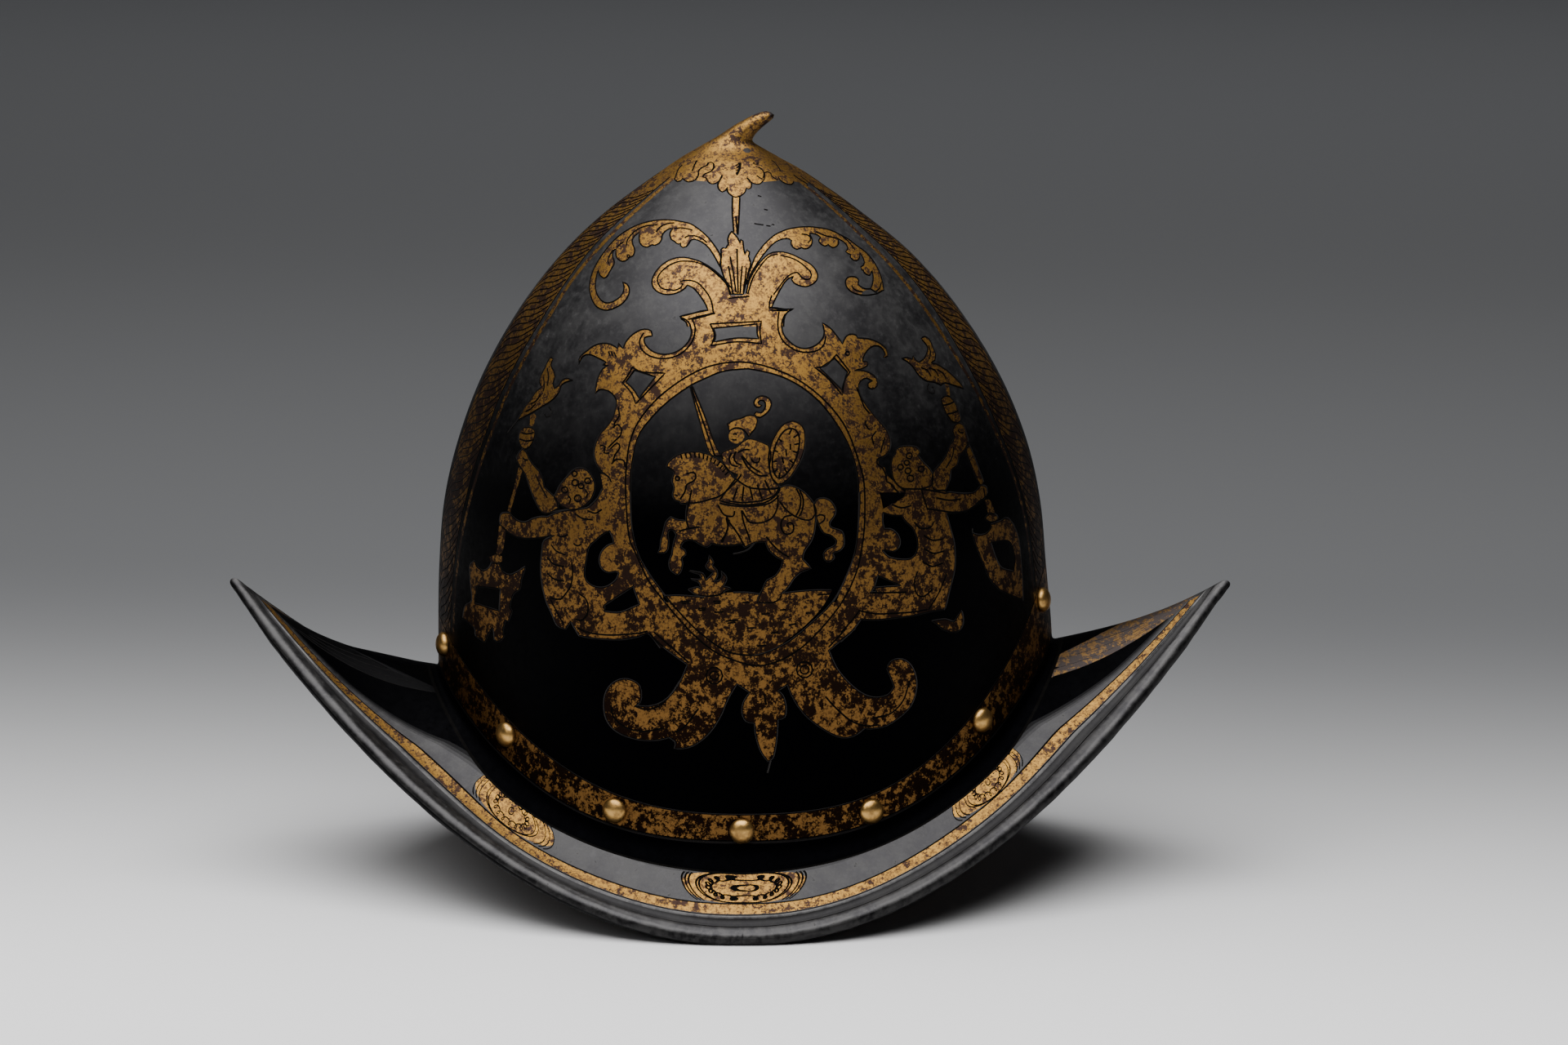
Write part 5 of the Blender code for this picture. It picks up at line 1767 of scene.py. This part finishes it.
class Shader:
    """A material's nodes, made through one method."""

    def __init__(self, name: str) -> None:
        """Start an empty material."""
        self.material = bpy.data.materials.new(name)
        self.material.use_nodes = True
        self.nodes = self.material.node_tree.nodes
        self.links = self.material.node_tree.links
        self.nodes.clear()

    def node(self, kind: str, settings: dict, inputs: dict, output: Union[int, str] = 0) -> Socket:
        """Make a node.

        Args:
            kind: The node's type.
            settings: Properties that are set first.
            inputs: Values or sockets by the input's name or number.
            output: Which output to return.

        Returns:
            The output as a value.
        """
        made = self.nodes.new(kind)
        for label, setting in settings.items():
            setattr(made, label, setting)
        for key, value in inputs.items():
            socket = made.inputs[key]
            if isinstance(value, Socket):
                self.links.new(value.socket, socket)
            else:
                socket.default_value = value
        return Socket(self, made.outputs[output])

    def place(self) -> Socket:
        """Object coordinates."""
        return self.node("ShaderNodeTexCoord", {}, {}, "Object")

    def part(self, axis: str) -> Socket:
        """One of the object coordinates; Z is the height over the floor."""
        return self.node("ShaderNodeSeparateXYZ", {}, {0: self.place()}, axis)

    def noise(self, size: float, detail: float, roughness: float) -> Socket:
        """Noise whose features are about as large as the given size in metres."""
        inputs = {"Vector": self.place(), "Scale": 1.0 / size, "Detail": detail, "Roughness": roughness}
        return self.node("ShaderNodeTexNoise", {}, inputs)

    def mark(self, name: str) -> Socket:
        """A mark that the mesh carries on its faces or their corners."""
        return self.node("ShaderNodeAttribute", {"attribute_name": name}, {}, "Fac")

    def mix(self, share: Value, first: Union[Socket, tuple], second: Union[Socket, tuple]) -> Socket:
        """A colour between two."""
        inputs = {0: share, 6: first, 7: second}
        return self.node("ShaderNodeMix", {"data_type": "RGBA"}, inputs, 2)

    def bump(self, height: Socket, depth: float, strength: float = 1.0) -> Socket:
        """A normal bent by a relief of the given depth in metres."""
        return self.node("ShaderNodeBump", {}, {"Height": height, "Distance": depth, "Strength": strength})

    def finish(self, settings: dict) -> bpy.types.Material:
        """End in a Principled shader with the given inputs."""
        surface = self.node("ShaderNodeBsdfPrincipled", {}, settings)
        out = self.nodes.new("ShaderNodeOutputMaterial")
        self.links.new(surface.socket, out.inputs["Surface"])
        return self.material


def rgb(red: float, green: float, blue: float) -> tuple:
    """A linear colour with full alpha."""
    return (red, green, blue, 1.0)


@dataclass(frozen=True)
class OutsideFinish:
    """Blackened steel with worn fire gilding, etched lines and a rubbed edge, with painted light: a grey
    sheen painted on the steel where it faces up, paler lit copies of gold, speckle and tarnish where a face
    points up or stands high, and darker painted-shade copies elsewhere.
    """

    black: tuple = rgb(0.0008, 0.0008, 0.0011)
    # The two greys that follow are painted sheen: a reflection of the overhead light painted onto the black
    # steel where it faces up.
    steel: tuple = rgb(0.0420, 0.0408, 0.0428)
    painted_sheen_pale: tuple = rgb(0.088, 0.0860, 0.0855)
    rubbed: tuple = rgb(0.110, 0.107, 0.105)
    # Lit and shaded copies: the gold, then its copy with painted shade, then speckle and tarnish each with a
    # painted-lit and a painted-shade copy; the etched line's paler copy is a painted highlight on bare steel
    # that is not lit.
    gold: tuple = rgb(0.315, 0.172, 0.040)
    gold_painted_shade: tuple = rgb(0.160, 0.079, 0.022)
    speckle_painted_lit: tuple = rgb(0.090, 0.047, 0.026)
    speckle_painted_shade: tuple = rgb(0.050, 0.022, 0.007)
    tarnish_painted_lit: tuple = rgb(0.052, 0.030, 0.023)
    tarnish_painted_shade: tuple = rgb(0.0070, 0.0034, 0.0022)
    line: tuple = rgb(0.004, 0.0037, 0.0035)
    line_painted_highlight: tuple = rgb(0.034, 0.031, 0.030)
    speckle_noise: tuple = (0.00075, 4.0, 0.68)
    grain_noise: tuple = (0.0024, 5.0, 0.66)
    patch_noise: tuple = (0.0080, 5.0, 0.64)
    broad_noise: tuple = (0.050, 3.0, 0.55)
    # Painted light: how far a face points up, and how high it stands, for it to count as lit.
    painted_light_facing: tuple = (0.17, 0.62)
    painted_light_height: tuple = (0.05, 0.235)
    painted_light_height_share: float = 0.8
    wear_shares: tuple = (0.36, 0.42, 0.22)
    wear_limit: float = 0.487
    limit_rise: float = 0.044
    limit_fall: float = 0.022
    towards_ends: tuple = (0.035, 0.100)
    thin_gold: float = 0.05
    gold_edge: tuple = (0.028, -0.020)
    spot_edge: tuple = (0.445, 0.560)
    spot_share: float = 0.80
    film_edge: tuple = (0.40, 0.62)
    film_share: float = 0.55
    grain_edge: tuple = (0.46, 0.66)
    grain_share: float = 0.35
    rubbed_bright: float = 0.9
    shine_edge: tuple = (0.38, 0.58)
    roughness: tuple = (0.3, 0.7, 0.46, 0.56)
    film_rough: float = 0.08
    gold_smooth: float = 0.04
    shine_smooth: float = 0.06
    line_rough: float = 0.12
    pit_edge: tuple = (0.665, 0.70)
    pit_depth: float = 1.2
    relief: tuple = (0.00007, 0.7)

    def build(self) -> bpy.types.Material:
        """The material, for faces marked gilt, with painted shade (gilt below 0), etched, rubbed or none of
        these.
        """
        shader = Shader("steel_and_gold")
        mark, etched, rubbed = shader.mark("gilt"), shader.mark("etched"), shader.mark("rubbed")
        # Gilt below 0 marks painted shade, which takes the painted sheen away.
        gilt, painted_shade = mark.at_least(0.0), (mark * -1.0).at_least(0.0)
        # Painted light: the share of each face that points up, which brings the painted sheen and the lit
        # copies.
        upward = shader.mark("upward").ramp(*self.painted_light_facing)
        # Lit where a face points up or stands high on the skull: painted light for the lit and shaded copies,
        # and also the mask by which the gold wears away more in the lower parts.
        lit = upward.at_least(shader.part("Z").ramp(*self.painted_light_height) * self.painted_light_height_share)
        speckle, grain = shader.noise(*self.speckle_noise), shader.noise(*self.grain_noise)
        patches, broad = shader.noise(*self.patch_noise), shader.noise(*self.broad_noise)
        by_patch, by_grain, by_speckle = self.wear_shares
        worn = patches * by_patch + grain * by_grain + speckle * by_speckle
        aside = shader.node("ShaderNodeMath", {"operation": "ABSOLUTE"}, {0: shader.part("Y")})
        below = aside.ramp(*self.towards_ends) * (1.0 - lit) * self.limit_fall
        limit = lit * self.limit_rise + self.wear_limit - below
        leafed = (gilt * 4.0).at_most(1.0)
        kept = (worn - limit + (1.0 - gilt) * self.thin_gold).ramp(*self.gold_edge)
        gold = leafed * kept * (1.0 - etched)
        # Painted light: the gold's lit copy where lit, its painted-shade copy elsewhere, and the same for its
        # speckle.
        tint = shader.mix(lit, self.gold_painted_shade, self.gold)
        spots = (speckle * 0.55 + grain * 0.45).ramp(*self.spot_edge) * self.spot_share
        tint = shader.mix(spots, tint, shader.mix(lit, self.speckle_painted_shade, self.speckle_painted_lit))
        # Tarnish under worn gold: painted-lit copy where lit, painted-shade copy elsewhere.
        bare = shader.mix(lit, self.tarnish_painted_shade, self.tarnish_painted_lit)
        film = (broad * 0.5 + patches * 0.5).ramp(*self.film_edge)
        paleness = film * self.film_share + grain.ramp(*self.grain_edge) * self.grain_share
        # The painted sheen's grey, mottled between two greys by the film and grain noise.
        pale = shader.mix(paleness, self.steel, self.painted_sheen_pale)
        # Painted sheen where the steel faces up, taken away by painted shade; rubbed wear brightens the steel
        # too.
        bright = (upward * (1.0 - painted_shade)).at_least(rubbed * self.rubbed_bright)
        steel = shader.mix(bright, self.black, pale)
        shine = rubbed * (patches * 0.5 + grain * 0.5).ramp(*self.shine_edge)
        steel = shader.mix(shine, steel, self.rubbed)
        colour = shader.mix(gold, shader.mix(leafed, steel, bare), tint)
        # Etched lines: dark where lit or gilt, paler elsewhere as a painted highlight.
        line_without_highlight = lit.at_least(leafed)
        colour = shader.mix(etched, colour, shader.mix(line_without_highlight, self.line_painted_highlight, self.line))
        rough = film * self.film_rough + grain.ramp(*self.roughness) - gold * self.gold_smooth
        rough = rough - shine * self.shine_smooth + etched * self.line_rough
        pits = grain.ramp(*self.pit_edge) * (1.0 - gold)
        relief = gold * 0.5 + speckle * 0.25 + patches * 0.5 - pits * self.pit_depth
        return shader.finish({
            "Base Color": colour, "Metallic": 1.0, "Roughness": rough,
            "Normal": shader.bump(relief, *self.relief),
        })


@dataclass(frozen=True)
class InsideFinish:
    """The unpolished inside: dark, with brown patches."""

    scale: tuple = rgb(0.045, 0.042, 0.042)
    brown: tuple = rgb(0.085, 0.050, 0.030)
    patch_noise: tuple = (0.018, 5.0, 0.6)
    fine_noise: tuple = (0.0015, 3.0, 0.6)
    patch_edge: tuple = (0.42, 0.66)
    metallic: float = 0.7
    roughness: tuple = (0.3, 0.7, 0.45, 0.62)
    relief: tuple = (0.0001, 0.7)

    def build(self) -> bpy.types.Material:
        """The material."""
        shader = Shader("inside_steel")
        patches, fine = shader.noise(*self.patch_noise), shader.noise(*self.fine_noise)
        colour = shader.mix(patches.ramp(*self.patch_edge), self.scale, self.brown)
        return shader.finish({
            "Base Color": colour, "Metallic": self.metallic, "Roughness": fine.ramp(*self.roughness),
            "Normal": shader.bump(fine + patches, *self.relief),
        })


@dataclass(frozen=True)
class BrassFinish:
    """Satin brass of the rivets, darker where it is not rubbed."""

    bright: tuple = rgb(0.50, 0.295, 0.092)
    dull: tuple = rgb(0.24, 0.135, 0.045)
    cloud_noise: tuple = (0.0035, 3.0, 0.6)
    fine_noise: tuple = (0.0007, 2.0, 0.5)
    cloud_edge: tuple = (0.40, 0.70)
    fine_share: float = 0.3
    roughness: tuple = (0.3, 0.7, 0.30, 0.44)
    relief: tuple = (0.00012, 0.6)

    def build(self) -> bpy.types.Material:
        """The material."""
        shader = Shader("rivet_brass")
        cloud, fine = shader.noise(*self.cloud_noise), shader.noise(*self.fine_noise)
        return shader.finish({
            "Base Color": shader.mix(cloud.ramp(*self.cloud_edge), self.bright, self.dull),
            "Metallic": 1.0, "Roughness": cloud.ramp(*self.roughness),
            "Normal": shader.bump(cloud + fine * self.fine_share, *self.relief),
        })


@dataclass
class LiningRivets:
    """Domed brass rivets, turned on an axis square to the wall."""

    form: HelmetForm
    count: int = 14
    head_radius: float = 0.0045
    head_height: float = 0.0030
    clearance: float = 0.0003
    shank_radius: float = 0.0018
    burr_radius: float = 0.0029
    burr_height: float = 0.0010
    steps: int = 40
    dome_rows: int = 10
    lip: float = 0.0002
    uneven: tuple = ((2, 1.0, 0.006), (3, 2.0, 0.004))
    turn_nudge: float = 0.01
    height_nudge: float = 0.001
    crease: float = math.radians(50)

    def outline(self) -> np.ndarray:
        """Half outline, as radius and height: an arc for the dome, then lip, shank and burr."""
        a = np.linspace(QUARTER_TURN, 0.0, self.dome_rows)
        rise = self.clearance + self.lip
        crown = self.head_height - self.lip
        dome = np.stack([self.head_radius * np.cos(a), rise + crown * np.sin(a)], axis=1)
        inside = -self.form.wall - self.clearance
        end = inside - self.burr_height
        lower = np.array([
            (self.head_radius, rise),
            (self.head_radius * 0.985, self.clearance * 0.3),
            (self.head_radius * 0.93, 0.0),
            (self.shank_radius, 0.0),
            (self.shank_radius, inside),
            (self.burr_radius * 0.9, inside),
            (self.burr_radius, inside - self.burr_height * 0.4),
            (self.burr_radius * 0.7, end),
            (0.0, end),
        ])
        return np.concatenate([dome[:-1], lower])

    def places(self) -> list[tuple[float, int]]:
        """Turn and side of each rivet, round the helmet from its left side."""
        angles = FULL_TURN * np.arange(self.count) / self.count
        turns = self.form.even_turn(np.arcsin(np.sin(angles)))
        return [(float(turn), 1 if math.cos(angle) > 0 else -1) for turn, angle in zip(turns, angles)]

    def frame_at(self, turn: float, side: int) -> tuple[np.ndarray, np.ndarray]:
        """Where a rivet stands.

        Args:
            turn: Its turn.
            side: 1 on the left, -1 on the right.

        Returns:
            Its foot and its three directions, the last one square to the wall.
        """
        turns = np.array([turn, turn - self.turn_nudge, turn + self.turn_nudge])
        height = self.form.rise(turns[:1], self.form.rivet_line)
        points = self.form.skull(turns, np.repeat(height, 3))
        nudges = np.array([-self.height_nudge, self.height_nudge])
        ends = self.form.skull(np.array([turn, turn]), height[0] + nudges)
        normal = unit(np.cross(points[2] - points[1], ends[1] - ends[0]))
        flip = np.array((side, 1.0, 1.0))
        normal = normal * flip
        level = unit(np.cross((0.0, 0.0, 1.0), normal))
        return points[0] * flip, np.array([level, np.cross(normal, level), normal])

    def build(self, finish: bpy.types.Material) -> list[bpy.types.Object]:
        """Make every rivet.

        Args:
            finish: What they are made of.

        Returns:
            One object for each rivet.
        """
        made = []
        for number, (turn, side) in enumerate(self.places(), start=1):
            name = f"rivet_dome_{number:02d}"
            mesh = self._turned(name, number, *self.frame_at(turn, side))
            mesh.materials.append(finish)
            piece = placed(name, mesh)
            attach(piece, "root")
            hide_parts(f"rivet_{number:02d}")
            made.append(piece)
        return made

    def _turned(self, name: str, number: int, foot: np.ndarray, axes: np.ndarray) -> bpy.types.Mesh:
        """The outline turned once round a rivet's axis, slightly uneven."""
        outline = self.outline()
        a = FULL_TURN * np.arange(self.steps) / self.steps
        uneven = 1.0
        for waves, shift, depth in self.uneven:
            uneven = uneven - depth * (1 + np.sin(waves * a + shift * number))
        ring = np.stack([np.cos(a) * uneven, np.sin(a) * uneven], axis=-1)
        flat = outline[1:-1, None, :1] * ring[None]
        lift = np.broadcast_to(outline[1:-1, None, 1:], flat[..., :1].shape)
        rows = np.concatenate([flat, lift], axis=-1)
        ends = np.array([(0.0, 0.0, outline[0, 1]), (0.0, 0.0, outline[-1, 1])])
        points = foot + np.concatenate([rows.reshape(-1, 3), ends]) @ axes
        count = len(rows)
        index = np.arange(count * self.steps).reshape(count, self.steps)
        beside = np.roll(index, -1, axis=1)
        quads = np.stack([index[:-1], index[1:], beside[1:], beside[:-1]], axis=-1).reshape(-1, 4)
        top = np.full(self.steps, count * self.steps)
        first = np.stack([top, index[0], beside[0]], axis=-1)
        last = np.stack([index[-1], top + 1, beside[-1]], axis=-1)
        mesh = bpy.data.meshes.new(name)
        mesh.from_pydata(points.tolist(), [], quads.tolist() + first.tolist() + last.tolist())
        mesh.shade_smooth()
        mesh.set_sharp_from_angle(angle=self.crease)
        return mesh


@dataclass(frozen=True)
class Lamp:
    """A rectangular soft light that faces a point."""

    name: str
    place: tuple
    aim: tuple
    size: tuple
    power: float

    def build(self) -> None:
        """Hang the light."""
        data = bpy.data.lights.new(self.name, "AREA")
        data.shape = "RECTANGLE"
        data.size, data.size_y = self.size
        data.energy = self.power
        lamp = bpy.data.objects.new(self.name, data)
        bpy.context.scene.collection.objects.link(lamp)
        lamp.location = self.place
        way = Vector(self.aim) - Vector(self.place)
        lamp.rotation_euler = way.to_track_quat("-Z", "Y").to_euler()


@dataclass(frozen=True)
class PaperWithPaintedLight:
    """Pale paper with painted light: bright in front of the helmet, a painted falloff to dark behind it, a
    little lighter again far off, and lighter towards -Y.
    """

    # Painted light: the near colour is the lit floor, the middle one painted shade behind the helmet, the far
    # one the dim far wall.
    near: tuple = rgb(0.97, 0.965, 0.97)
    middle: tuple = rgb(0.113, 0.115, 0.119)
    far: tuple = rgb(0.245, 0.250, 0.262)
    tilt: float = 0.14
    near_edge: tuple = (-0.55, 0.27)
    far_edge: tuple = (-2.75, -1.30)
    steepness: float = 0.7
    roughness: float = 0.9

    def build(self) -> bpy.types.Material:
        """The material."""
        shader = Shader("backdrop_paper_painted_light")
        # Painted falloff of light with depth behind the helmet, slanted towards -Y.
        depth = shader.part("X") - shader.part("Y") * self.tilt
        behind = shader.mix(depth.ramp(*self.far_edge), self.far, self.middle)
        rise = depth.ramp(*self.near_edge)
        share = rise * (rise * self.steepness + (1.0 - self.steepness))
        colour = shader.mix(share, behind, self.near)
        return shader.finish({"Base Color": colour, "Roughness": self.roughness})


@dataclass
class Studio:
    """Floor and backdrop in one sweep, soft lights and the camera."""

    view: View
    floor_front: float = 5.0
    floor_back: float = -3.0
    sweep_radius: float = 2.0
    sweep_steps: int = 24
    half_width: float = 5.0
    wall_top: float = 4.0
    surround: tuple = rgb(0.5, 0.52, 0.56)
    surround_strength: float = 0.045
    lamps: tuple = (
        Lamp("overhead", (0.45, -0.15, 1.75), (0.0, 0.0, 0.05), (2.2, 2.2), 79.0),
        Lamp("front_fill", (2.2, -1.6, 1.5), (0.0, 0.0, 0.15), (0.9, 0.9), 5.0),
    )

    def build(self) -> None:
        """Everything round the helmet."""
        self._sweep()
        self._world()
        for lamp in self.lamps:
            lamp.build()
        self._camera()

    def _sweep(self) -> None:
        """A level floor that curves up into a wall, as one profile carried across."""
        a = np.linspace(0.0, QUARTER_TURN, self.sweep_steps)
        x = self.floor_back - self.sweep_radius * np.sin(a)
        z = self.sweep_radius * (1 - np.cos(a))
        curve = np.stack([x, z], axis=1)
        profile = np.concatenate([[(self.floor_front, 0.0)], curve, [(x[-1], self.wall_top)]])
        sides = np.array((-self.half_width, self.half_width))
        rows = np.stack([
            np.repeat(profile[:, :1], 2, axis=1), np.broadcast_to(sides, (len(profile), 2)),
            np.repeat(profile[:, 1:], 2, axis=1),
        ], axis=-1)
        index = np.arange(len(profile) * 2).reshape(-1, 2)
        faces = np.stack([index[:-1, 0], index[:-1, 1], index[1:, 1], index[1:, 0]], axis=1)
        mesh = bpy.data.meshes.new("floor_sweep")
        mesh.from_pydata(rows.reshape(-1, 3).tolist(), [], faces.tolist())
        mesh.shade_smooth()
        mesh.materials.append(PaperWithPaintedLight().build())
        placed("floor_sweep", mesh)

    def _world(self) -> None:
        """A dim grey surround."""
        world = bpy.data.worlds.new("surround")
        bpy.context.scene.world = world
        world.use_nodes = True
        back = world.node_tree.nodes["Background"]
        back.inputs["Color"].default_value = self.surround
        back.inputs["Strength"].default_value = self.surround_strength

    def _camera(self) -> None:
        """The camera at the picture's angle."""
        data = bpy.data.cameras.new("camera")
        data.sensor_width = self.view.sensor
        data.lens = self.view.sensor * self.view.distance / self.view.width_at_target
        camera = bpy.data.objects.new("camera", data)
        bpy.context.scene.collection.objects.link(camera)
        place = Vector(self.view.place())
        camera.location = place
        camera.rotation_euler = (Vector(self.view.target) - place).to_track_quat("-Z", "Y").to_euler()
        bpy.context.scene.camera = camera


def main() -> None:
    """Build the helmet and its studio."""
    logging.basicConfig(level=logging.INFO, format="%(message)s")
    form, view = HelmetForm(), View()
    helmet = HelmetShell(form, StalkForm()).build(Drawing(form, view))
    helmet.data.materials.append(OutsideFinish().build())
    helmet.data.materials.append(InsideFinish().build())
    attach(helmet, "root")
    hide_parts("helmet_shell")
    log.info("helmet: %d faces", len(helmet.data.polygons))
    rivets = LiningRivets(form).build(BrassFinish().build())
    log.info("rivets: %d", len(rivets))
    Studio(view).build()
    log.info("studio: floor, surround, lights and camera")


if __name__ == "__main__":
    main()
